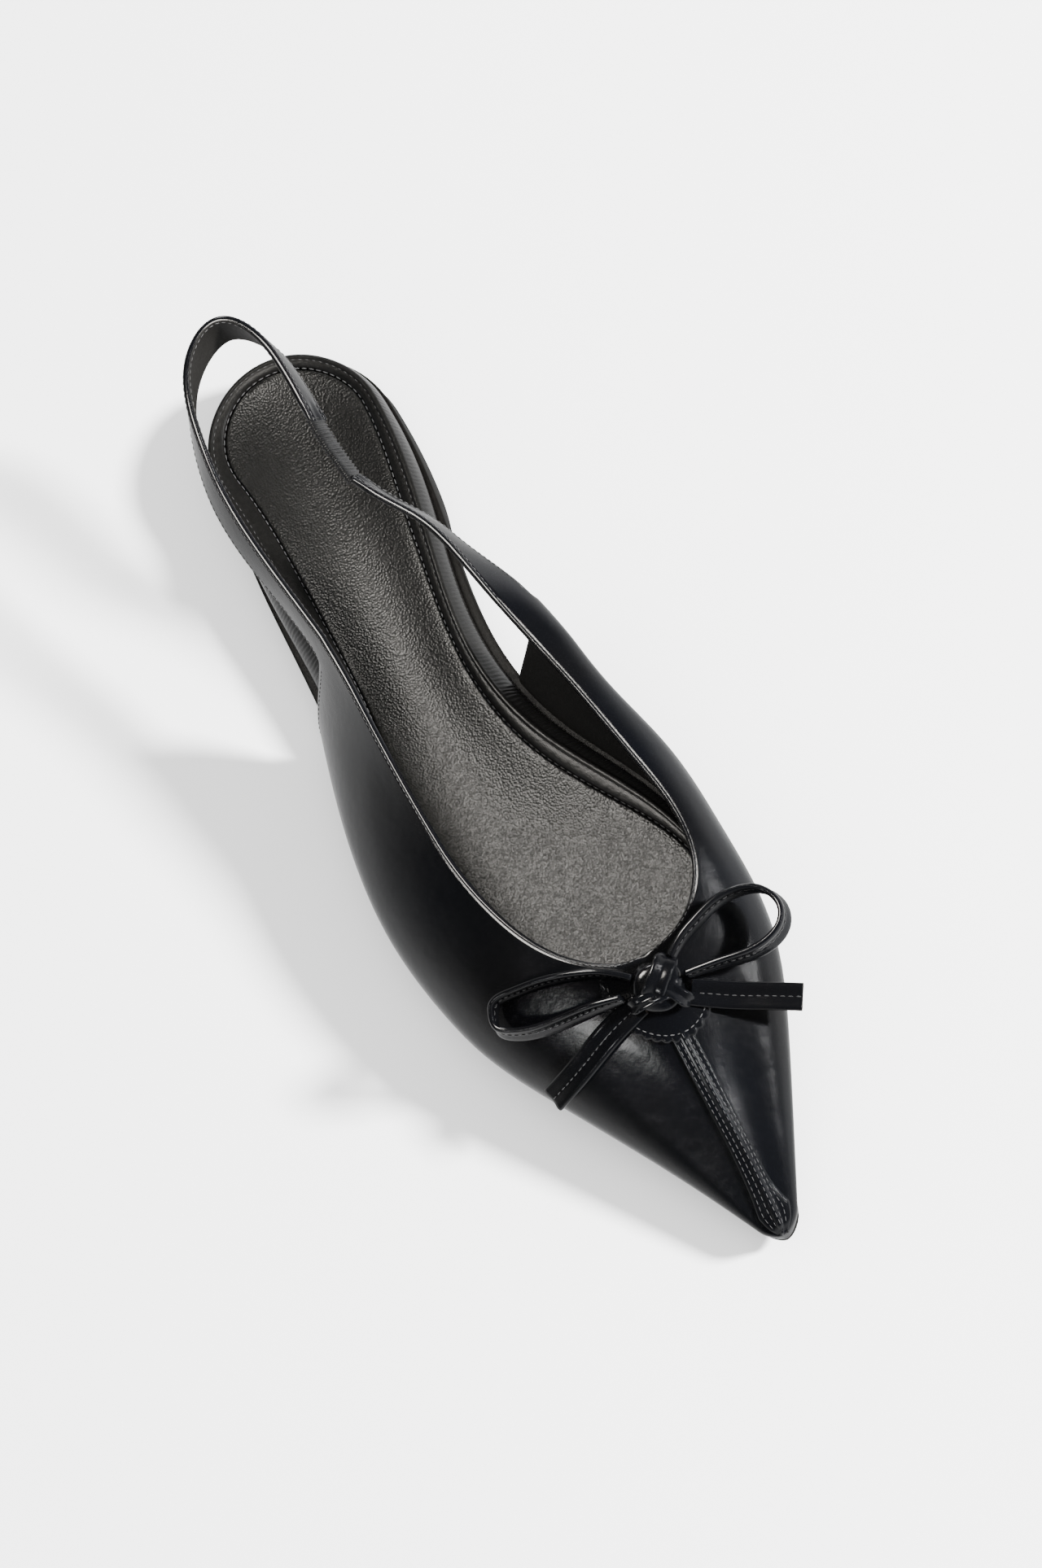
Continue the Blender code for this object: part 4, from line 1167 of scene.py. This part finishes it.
def strap_points(side, half):
    """Points of the strap that runs on from one quarter, starting on the quarter's own edge."""
    total = STRAP_FRAMES[side][-1][4]
    points = [half[0][LOWER_COLUMNS:]]
    for middle, tall, flat, wide, run in from_quarter(side)[1:]:
        left = total - run if side == "outer" else run
        pleated = PLEAT_DEPTH * (1.0 - smooth_step(left, 0.0, PLEAT_REACH))
        line = []
        for share in spread(0.0, 1.0, STRAP_COLUMNS):
            proud = CROWN * math.sin(math.pi * share) + pleated * math.cos(math.tau * 2.5 * share)
            up = (share - 0.5) * STRAP_WIDTH * wide
            line.append(middle + tall * up + flat * (0.5 * WALL + proud))
        points.append(line)
    return points


POINTS = {side: half_points(side) for side in ("inner", "outer")}
STRAP_POINTS = {side: strap_points(side, POINTS[side]) for side in POINTS}
print("rows of the halves:", [len(points) for points in POINTS.values()])

# %% Ease the joints
EASED_STRAP, EASED_QUARTER, EASED_BELOW, EASE_ROUNDS = 18, 6, 8, 60


def ease_joint(half, strap):
    """Smooth the lines that run from a quarter into its strap, along their run alone."""
    spots = np.array([strap[row] for row in range(EASED_STRAP, 0, -1)]
                     + [half[row][LOWER_COLUMNS:] for row in range(EASED_QUARTER)])
    before_easing = spots[EASED_STRAP:, 0].copy()
    fade = np.sin(np.linspace(0.0, math.pi, len(spots)))[1:-1, None, None]
    for _ in range(EASE_ROUNDS):
        near = np.linalg.norm(spots[1:-1] - spots[:-2], axis=2, keepdims=True)
        far = np.linalg.norm(spots[2:] - spots[1:-1], axis=2, keepdims=True)
        middle = (spots[:-2] * far + spots[2:] * near) / (near + far)
        spots[1:-1] += (middle - spots[1:-1]) * 0.5 * fade
    for row in range(1, EASED_STRAP + 1):
        strap[row] = list(spots[EASED_STRAP - row])
    for row in range(EASED_QUARTER):
        half[row][LOWER_COLUMNS:] = list(spots[EASED_STRAP + row])
        shift = spots[EASED_STRAP + row, 0] - before_easing[row]
        for step in range(1, EASED_BELOW + 1):
            share = (1.0 - step / (EASED_BELOW + 1)) ** 2
            half[row][LOWER_COLUMNS - step] = half[row][LOWER_COLUMNS - step] + shift * share
    strap[0] = half[0][LOWER_COLUMNS:]


for side in POINTS:
    ease_joint(POINTS[side], STRAP_POINTS[side])
print("rows of the straps:", [len(points) for points in STRAP_POINTS.values()])

# %% Lay the sheet and give it its wall
REAR_ROWS, FAR_OFF = 8, 99.0 * MM


def length_of(points):
    """Length of a line of points."""
    return sum(np.linalg.norm(far - near) for near, far in zip(points, points[1:]))


def half_sheet(side, points):
    """Grid of one quarter and its half of the vamp."""
    def measure(row, column):
        from_top = length_of(points[row][column:])
        from_rear = length_of([line[column] for line in points[:min(row, REAR_ROWS) + 1]])
        if row >= REAR_ROWS or column >= LOWER_COLUMNS:
            from_rear = FAR_OFF
        if row >= QUARTER_ROWS[side] - 1:
            from_top = FAR_OFF
        return (points[row][column][1] / MM, min(from_top, from_rear) / MM)

    return laid_rows("half_" + side, points, measure)


def strap_sheet(side, points):
    """Grid of one strap."""
    frames = from_quarter(side)

    def measure(row, column):
        wide = frames[row][3] * STRAP_WIDTH / MM
        return (frames[row][4] / MM, min(column, STRAP_COLUMNS - column) / STRAP_COLUMNS * wide)

    return laid_rows("strap_" + side, points, measure)


def vamp_order(face):
    """How far forward a face lies on the middle of the vamp, or -1 for a face elsewhere."""
    across, forward = face.center.x, face.center.y
    return forward if abs(across + 6.0 * MM) < 4.0 * MM and forward < 90.0 * MM else -1.0


sheets = []
for side in POINTS:
    sheets += [half_sheet(side, POINTS[side]), strap_sheet(side, STRAP_POINTS[side])]
upper = join("upper_leather", sheets)
weld(upper)
if max(upper.data.polygons, key=vamp_order).normal.z < 0.0:
    turn_over(upper)
for finish in (LEATHER, LINING):
    upper.data.materials.append(finish)
work_in(upper, "SOLIDIFY", thickness=WALL, offset=-1.0, material_offset=1, use_even_offset=False)
soften(upper)
dress(upper, [], "black_leather", "upper", "back_strap", "front_strap")

# %% [markdown]
# ## Elastic link
# Inside the inner strap a short elastic is covered with gathered leather. The gathers are round
# ribs across the link, uneven by hand. Each section of the tube is swelled a little on a rib and
# pinched between two.

# %% Elastic link
RIBS, ELASTIC_STEPS, TUCK, SKEW = 17, 170, 1.6 * MM, 0.075 * MM


def rounded_section(half_wide, half_thick, count=20, power=0.55):
    """A soft rectangle: how far up its width and how far out of its middle."""
    points = []
    for turn in spread(0.0, math.tau, count)[:-1]:
        up, out = (math.copysign(abs(part) ** power, part) for part in (math.sin(turn), -math.cos(turn)))
        points.append((half_wide * up, half_thick * out))
    return points


def tucked(end, middle):
    """The row that carries a path on past its end, into the band it is sewn in."""
    run = np.array(end[:3]) - middle[:3]
    return (*(end[:3] + run / np.linalg.norm(run) * TUCK), *end[3:])


first, middle_row, last = strap_rows(ELASTIC_PATH)
link_rows = [tucked(first, middle_row), first, middle_row, last, tucked(last, middle_row)]
elastic_rings = []
for step, (middle, tall, flat, wide, run) in enumerate(band_frames(link_rows, ELASTIC_STEPS)):
    share = step / ELASTIC_STEPS
    beat = math.tau * RIBS * share + 0.7 * math.sin(9.0 * share) + 0.5 * math.sin(23.0 * share)
    rib = 0.5 + 0.5 * math.cos(beat)
    waist = 1.0 - 0.06 * math.sin(math.pi * share)
    half_wide = 0.5 * ELASTIC_WIDTH * waist * (0.93 + 0.07 * rib)
    half_thick = 0.5 * ELASTIC_THICKNESS * (0.60 + 0.40 * rib)
    ring = []
    for up, out in rounded_section(half_wide, half_thick):
        skew = SKEW * math.sin(3.0 * up / half_wide + 7.0 * share)
        ring.append(middle + tall * up + flat * (out + skew))
    elastic_rings.append(ring)
elastic = ring_tube("elastic_gathers", elastic_rings)
cap_ends(elastic)
dress(elastic, [GATHERED], "black_elastic", "strap_elastic")

# %% [markdown]
# ## Toe seam
# The two halves of the vamp are joined under a raised strip, from under the tab to the tip. It has
# a low welt in the middle and a ridged wing on each side. It is a tube of sections laid on the
# last, with the ridges and grooves in the section's own points, and it fades out at both ends.

# %% Toe seam
SEAM_REACH, SEAM_END, SEAM_SUNK = 0.6, 2.6, 0.1 * MM
SEAM_PROFILE = (
    # across, thickness
    (-1.00, 0.25), (-0.93, 0.66), (-0.76, 0.46), (-0.60, 0.68), (-0.43, 0.50), (-0.26, 0.74),
    (-0.10, 0.98), (0.00, 1.04), (0.10, 0.98), (0.26, 0.74), (0.43, 0.50), (0.60, 0.68),
    (0.76, 0.46), (0.93, 0.66), (1.00, 0.25),
)


def seam_spot(travel, share):
    """Place and normal on the last at a share across the strip."""
    narrow = 1.0 - 0.3 * smooth_step(along_of(travel), 0.85, 1.0)
    beside = last_point(travel, RIDGE_TURN + 0.01) - last_point(travel, RIDGE_TURN)
    over = np.linalg.norm(beside) / 0.01
    turn = RIDGE_TURN + min(0.5 * SEAM_WIDTH * narrow / over, SEAM_REACH) * share
    return last_point(travel, turn), last_normal(travel, turn)


seam_rings = []
for travel in spread(travel_of(SEAM_START), 2.0, 70) + spread(2.0, SEAM_END, 14)[1:]:
    low, high = [], []
    rise = 0.35 + 0.65 * smooth_step(along_of(travel), 0.806, 0.820)
    fade = rise * (1.0 - smooth_step(travel, 2.25, SEAM_END))
    for share, thick in SEAM_PROFILE:
        place, normal = seam_spot(travel, share)
        low.append(place - normal * SEAM_SUNK)
        high.append(place + normal * thick * fade * SEAM_THICKNESS)
    seam_rings.append(low + high[::-1])
seam = ring_tube("toe_seam_strip", seam_rings)
cap_ends(seam)
dress(seam, [RIBBON], "black_leather", "toe_seam")

# %% [markdown]
# ## Ribbon bow
# The bow is tied from one folded ribbon. The fold makes two full edges with a stitched groove
# between them, and the tails' cut ends show the tan core. Each band is a tube swept along its path
# with that section.

# %% Ribbon bands
def knot_frame():
    """Middle of the knot on the vamp and its three directions: sideways, forward and up."""
    travel = travel_of(KNOT_ALONG)
    up = last_normal(travel, RIDGE_TURN)
    turn = math.radians(KNOT_TURN)
    forward = np.cross(up, (math.cos(turn), -math.sin(turn), 0.0))
    forward = forward / np.linalg.norm(forward)
    middle = last_point(travel, RIDGE_TURN) + up * (GAP + 0.5 * KNOT_HEIGHT)
    return middle, np.cross(forward, up), forward, up


RIBBON_SECTION = (
    # up the width, thickness of the folded ribbon there
    (-1.00, 0.00), (-0.985, 0.42), (-0.92, 0.80), (-0.80, 1.00), (-0.66, 1.00), (-0.46, 0.80),
    (-0.24, 0.56), (-0.07, 0.34), (0.07, 0.34), (0.24, 0.56), (0.46, 0.80), (0.66, 1.00),
    (0.80, 1.00), (0.92, 0.80), (0.985, 0.42), (1.00, 0.00),
)
KNOT_MIDDLE, KNOT_SIDE, KNOT_FORWARD, KNOT_UP = knot_frame()


def ribbon_ring(middle, tall, flat, half_wide, half_thick):
    """Ring of points round a folded ribbon."""
    across = [(middle + tall * up * half_wide, flat * out * half_thick) for up, out in RIBBON_SECTION]
    return [spot + out for spot, out in across] + [spot - out for spot, out in across[-2:0:-1]]


def ribbon_band(name, table, count, node):
    """One band of the bow. The ends of a tail are cut and tan."""
    rows = [(*(KNOT_MIDDLE + np.array(row[:3]) * LOOP_REACH), *row[3:]) for row in table]
    frames = band_frames(rows, count)
    rings = [ribbon_ring(middle, tall, flat, 0.5 * RIBBON_WIDTH * wide, 0.5 * RIBBON_THICKNESS)
             for middle, tall, flat, wide, run in frames]
    band = ring_tube(name, rings)
    cap_ends(band)
    dress(band, [RIBBON, RAW], "black_leather", node)
    for face in band.data.polygons:
        if len(face.vertices) > 4:
            face.material_index = 1 if "tail" in name else 0
            face.use_smooth = False
    return frames


BOW = [ribbon_band(*band) for band in (
    ("loop_outer_ribbon", OUTER_LOOP, 150, "bow_loop_outer"),
    ("loop_inner_ribbon", INNER_LOOP, 150, "bow_loop_inner"),
    ("tail_outer_ribbon", OUTER_TAIL, 60, "bow_tail_outer"),
    ("tail_inner_ribbon", INNER_TAIL, 60, "bow_tail_inner"),
)]

# %% [markdown]
# ## Knot
# The knot is three short wraps of the same ribbon over a small core. Each wrap is an arch that
# starts and ends out of sight under the knot and is pinched narrow there. The wraps cross at
# different turns and tilts, as a hand leaves them.

# %% Knot
WRAP_END, WRAP_STEPS, WRAP_HALF_THICK = 0.80 * math.pi, 76, 0.80 * MM


def wrap(name, turn, tilt, across, reach, height, width, lift):
    """A ribbon wrapped over the knot: an arch turned by an angle and leaning by a tilt."""
    turn, tilt = math.radians(turn), math.radians(tilt)
    ahead = KNOT_FORWARD * math.cos(turn) + KNOT_SIDE * math.sin(turn)
    beside = KNOT_SIDE * math.cos(turn) - KNOT_FORWARD * math.sin(turn)
    beside = beside * math.cos(tilt) + KNOT_UP * math.sin(tilt)
    centre = KNOT_MIDDLE + KNOT_SIDE * across[0] + KNOT_FORWARD * across[1] + KNOT_UP * lift
    rings = []
    for angle in spread(-WRAP_END, WRAP_END, WRAP_STEPS):
        out = ahead * math.sin(angle) * reach + KNOT_UP * math.cos(angle) * height
        flat = ahead * math.sin(angle) / reach + KNOT_UP * math.cos(angle) / height
        flat = flat / np.linalg.norm(flat)
        pinch = 1.0 - 0.16 * math.cos(angle) ** 2
        pinch = pinch * (1.0 - 0.5 * smooth_step(abs(angle) / math.pi, 0.28, 0.60))
        rings.append(ribbon_ring(centre + out, beside, flat, 0.5 * width * pinch, WRAP_HALF_THICK))
    piece = ring_tube(name, rings)
    cap_ends(piece)
    return piece


def knot_core():
    """A ridged egg that fills the space under the wraps."""
    rings = []
    for slope in spread(-0.5 * math.pi, 0.5 * math.pi, 24):
        size = math.cos(slope) ** 0.7
        along = math.copysign(abs(math.sin(slope)) ** 0.8, slope)
        ring = []
        for turn in spread(0.0, math.tau, 36)[:-1]:
            ridge = 1.0 + 0.05 * math.cos(5.0 * turn + 3.0 * slope)
            ahead = 0.46 * KNOT_LENGTH * size * math.cos(turn) * ridge
            high = 0.42 * KNOT_HEIGHT * size * math.sin(turn) * ridge
            aside = 0.52 * KNOT_WIDTH * along
            ring.append(KNOT_MIDDLE + KNOT_SIDE * aside + KNOT_FORWARD * ahead + KNOT_UP * high)
        rings.append(ring)
    return ring_tube("knot_core", rings)


knot = join("knot_wraps", [
    knot_core(),
    # name, turn, tilt, shift on the vamp, reach, height, width, lift
    wrap("wrap_over", 20, 8, (-0.6 * MM, -1.8 * MM), 5.4 * MM, 3.5 * MM, 6.4 * MM, 0.2 * MM),
    wrap("wrap_coil", 64, -20, (1.4 * MM, 3.0 * MM), 5.2 * MM, 2.9 * MM, 5.0 * MM, -0.3 * MM),
    wrap("wrap_under", -58, 16, (-3.6 * MM, 1.0 * MM), 4.8 * MM, 2.5 * MM, 4.6 * MM, -0.5 * MM),
])
soften(knot)
dress(knot, [RIBBON], "black_leather", "bow_knot")

# %% [markdown]
# ## Tab under the bow
# A small tab of leather lies between the bow and the vamp. Its front edge was sewn with a dense
# curved stitch that pulls it into scallops. It is a thin fan laid on the last with a wavy rim.

# %% Scalloped tab
TAB_REACH, TAB_THICKNESS, TAB_ROWS, TAB_COLUMNS, TAB_SCALLOPS = 13.6 * MM, 0.6 * MM, 12, 120, 15


def spot_near_knot(side, ahead):
    """Place and normal on the vamp at an offset from the knot, found by walking on the last."""
    travel, turn = travel_of(KNOT_ALONG), RIDGE_TURN
    target = KNOT_MIDDLE + KNOT_SIDE * side + KNOT_FORWARD * ahead
    for _ in range(6):
        here = last_point(travel, turn)
        along_run = (last_point(travel + 1e-3, turn) - here) / 1e-3
        over_run = (last_point(travel, turn + 1e-3) - here) / 1e-3
        basis = np.stack([along_run, over_run], 1)
        step = np.linalg.lstsq(basis, target - here, rcond=None)[0]
        travel, turn = travel + step[0], turn + step[1]
    return last_point(travel, turn), last_normal(travel, turn)


def tab_place(row, column):
    """Place on the tab: a fan that opens from the knot, with a rim that swells between stitches."""
    angle, out = math.radians(-100.0 + 200.0 * column / TAB_COLUMNS), row / TAB_ROWS
    beat = abs(math.sin(TAB_SCALLOPS * angle))
    reach = TAB_REACH * (0.25 + 0.75 * out) * (1.0 + 0.12 * math.sin(angle) ** 2)
    reach = reach * (1.0 + 0.045 * beat * out ** 3)
    place, normal = spot_near_knot(math.sin(angle) * reach, math.cos(angle) * reach)
    return place + normal * (0.55 + 0.25 * beat * smooth_step(out, 0.75, 0.95)) * MM


tab = laid_grid("bow_tab", TAB_ROWS, TAB_COLUMNS, tab_place)
weld(tab)
if sum(face.normal.z for face in tab.data.polygons) < 0.0:
    turn_over(tab)
work_in(tab, "SOLIDIFY", thickness=TAB_THICKNESS, offset=-1.0)
dress(tab, [RIBBON], "black_leather")

# %% [markdown]
# ## Stitches
# A stitch is a short bead of thread that dips at both ends. One bead is modelled once, and its
# copies are set along every stitched line at a steady pitch, each turned to its line. It has few
# faces, for there are hundreds. A line drawn near a surface is first moved on to it.

# %% One stitch
DIP = 1.1
bpy.ops.object.select_all(action="DESELECT")
bpy.ops.mesh.primitive_uv_sphere_add(segments=8, ring_count=6, radius=0.5)
bead = bpy.context.object
for vertex in bead.data.vertices:
    x, y, z = vertex.co
    vertex.co = (z, y, x - DIP * z * z)
BEAD_POINTS = np.array([vertex.co[:] for vertex in bead.data.vertices])
BEAD_FACES = [tuple(face.vertices)[::-1] for face in bead.data.polygons]
bpy.data.objects.remove(bead, do_unlink=True)
print("faces of a stitch:", len(BEAD_FACES))

# %% Set stitches along a line
def stitch_frames(path, pitch):
    """Middles, runs and normals of stitches along a path of places and normals."""
    places = np.array([place for place, normal in path])
    normals = np.array([normal for place, normal in path])
    steps = np.linalg.norm(np.diff(places, axis=0), axis=1)
    runs = np.concatenate([[0.0], np.cumsum(steps)])
    count = int(runs[-1] / pitch)

    def read(values, where):
        return np.array([np.interp(where, runs, values[:, k]) for k in range(3)])

    frames = []
    for i in range(count):
        at = (i + 0.5) * runs[-1] / count
        start, end = read(places, at - 0.3 * pitch), read(places, at + 0.3 * pitch)
        normal = read(normals, at)
        frames.append((0.5 * (start + end), end - start, normal / np.linalg.norm(normal)))
    return frames


THREAD_LIFT = 0.05 * MM


def laid_on(piece, path):
    """Move a path on to the nearest surface of a piece."""
    moved = []
    for place, normal in path:
        found, spot, direction, face = piece.closest_point_on_mesh(Vector(place))
        if found:
            place, normal = np.array(spot) + np.array(direction) * THREAD_LIFT, np.array(direction)
        moved.append((place, normal))
    return moved


def sew(name, paths, pitch, length, thread, finish=THREAD):
    """Set beads of thread along several paths as one piece."""
    points, faces = [], []
    for path in paths:
        for middle, run, normal in stitch_frames(path, pitch):
            run = run / max(np.linalg.norm(run), 1e-9)
            beside = np.cross(normal, run)
            start = len(points)
            for x, y, z in BEAD_POINTS:
                points.append(middle + run * x * length + beside * y * thread + normal * z * thread)
            faces += [tuple(start + k for k in face) for face in BEAD_FACES]
    mesh = bpy.data.meshes.new(name)
    mesh.from_pydata(points, [], faces)
    piece = bpy.data.objects.new(name, mesh)
    bpy.context.scene.collection.objects.link(piece)
    dress(piece, [finish], "black_leather")
    print(name, "in all:", len(faces) // len(BEAD_FACES))


print("stitch helpers ready")

# %% Sew the upper and the straps
EDGE_INSET = 0.9 * MM


def below_topline(side, inset):
    """Path on the outside of a quarter at a distance below its topline."""
    path = []
    for row in UPPER_ROWS[side][:QUARTER_ROWS[side]]:
        step = np.linalg.norm(row_point(row, 1.0) - row_point(row, 0.95))
        spot = row_spot(row, 1.0 - 0.05 * inset / step)
        path.append((last_point(*spot), last_normal(*spot)))
    return path


def strap_line(side, inset, face):
    """Path along a strap at a distance from its top edge, or its bottom edge if negative."""
    path = []
    for middle, tall, flat, wide, run in STRAP_FRAMES[side]:
        up = 0.5 * STRAP_WIDTH * wide - abs(inset)
        up = up if inset > 0.0 else -up
        path.append((middle + tall * up + flat * face * (0.5 * WALL + 0.1 * MM), flat * face))
    return path


def rear_line(side, row):
    """Path down the rear edge of a quarter."""
    spots = [row_spot(row, share) for share in spread(0.04, SPLIT[side] * 0.97, 40)]
    return [(last_point(*spot), last_normal(*spot)) for spot in spots]


lines = []
for side, rear_row in (("inner", 2), ("outer", 1)):
    lines.append(below_topline(side, EDGE_INSET))
    for inset, face in ((EDGE_INSET, 1.0), (-EDGE_INSET, 1.0), (EDGE_INSET, -1.0)):
        lines.append(strap_line(side, inset, face))
    lines.append(rear_line(side, UPPER_ROWS[side][rear_row]))
lines = [laid_on(upper, line) for line in lines]
sew("edge_stitches", lines, pitch=1.6 * MM, length=1.15 * MM, thread=0.19 * MM)

# %% Sew the sock and the rim
def round_the_heel(furthest, steps, spot):
    """Path from the inner side over the heel to the outer side of the footbed."""
    path = []
    travels = shoe_travels(travel_of(furthest), 30, steps)
    for side, order in ((0, travels[::-1]), (1, travels[1:])):
        for travel in order:
            inset, height = spot(footbed_shape(travel), side)
            path.append((np.array((*inset_edge(travel, side, inset), height)), UPWARD))
    return path


def sock_spot(shape, side):
    """Inset and height of the stitches round the sock."""
    return shape["sock"][side] + 0.10 * MM, shape["sock height"] + 0.02 * MM


def rim_spot(shape, side):
    """Inset and height of the stitches along the rim."""
    crown = shape["rim"][side] + RIM_ROUND
    height = shape["rim height"] + 0.29 * (shape["sock height"] - shape["rim height"])
    return crown + 0.27 * (shape["sock"][side] - crown), height


sock_line, rim_line = round_the_heel(0.80, 90, sock_spot), round_the_heel(0.62, 70, rim_spot)
sew("sock_stitches", [sock_line], pitch=2.0 * MM, length=1.5 * MM, thread=0.26 * MM)
sew("rim_stitches", [rim_line], pitch=1.9 * MM, length=1.2 * MM, thread=0.17 * MM)

# %% Sew the toe seam, the ribbons and the tab
SEAM_STITCHES = (
    # share across the strip, height of the thread there
    (-0.76, 0.52), (-0.43, 0.56), (0.0, 1.06), (0.43, 0.56), (0.76, 0.52),
)
seam_lines = []
for share, thick in SEAM_STITCHES:
    path = []
    for travel in spread(travel_of(SEAM_START + 0.014), 2.0, 60) + spread(2.0, 2.3, 4)[1:]:
        place, normal = seam_spot(travel, share)
        path.append((place + normal * thick * SEAM_THICKNESS, normal))
    seam_lines.append(path)
sew("seam_stitches", seam_lines, pitch=1.7 * MM, length=1.25 * MM, thread=0.17 * MM)

ribbon_lines = []
for frames in BOW:
    for face in (1.0, -1.0):
        ribbon_lines.append([(middle + flat * face * 0.20 * RIBBON_THICKNESS, flat * face)
                             for middle, tall, flat, wide, run in frames[4:]])
sew("ribbon_stitches", ribbon_lines, pitch=1.8 * MM, length=1.25 * MM, thread=0.24 * MM,
    finish=BLACK_THREAD)

tab_line = []
for angle in spread(math.radians(-88.0), math.radians(88.0), 60):
    reach = 0.90 * TAB_REACH * (1.0 + 0.12 * math.sin(angle) ** 2)
    place, normal = spot_near_knot(math.sin(angle) * reach, math.cos(angle) * reach)
    tab_line.append((place + normal * 0.62 * MM, normal))
sew("tab_stitches", [tab_line], pitch=1.7 * MM, length=1.25 * MM, thread=0.28 * MM)

# %% [markdown]
# ## Floor
# The floor is a wide pale sheet with a faint mottle, so that it isn't one flat tone. The leather
# mirrors the grey of the room's walls and not this floor, which would make its sides too pale.

# %% Floor
bpy.ops.object.select_all(action="DESELECT")
bpy.ops.mesh.primitive_plane_add(size=8.0)
floor = bpy.context.object
floor.name = "floor"
paper = Finish("pale studio floor", Roughness=0.9)
paper.feed("Base Color", paper.fold((0.855, 0.855, 0.855), (0.875, 0.875, 0.873), paper.noise(6.0, 2.0)))
floor.data.materials.append(paper.material)
floor.visible_glossy = False
print("floor laid:", floor.name)
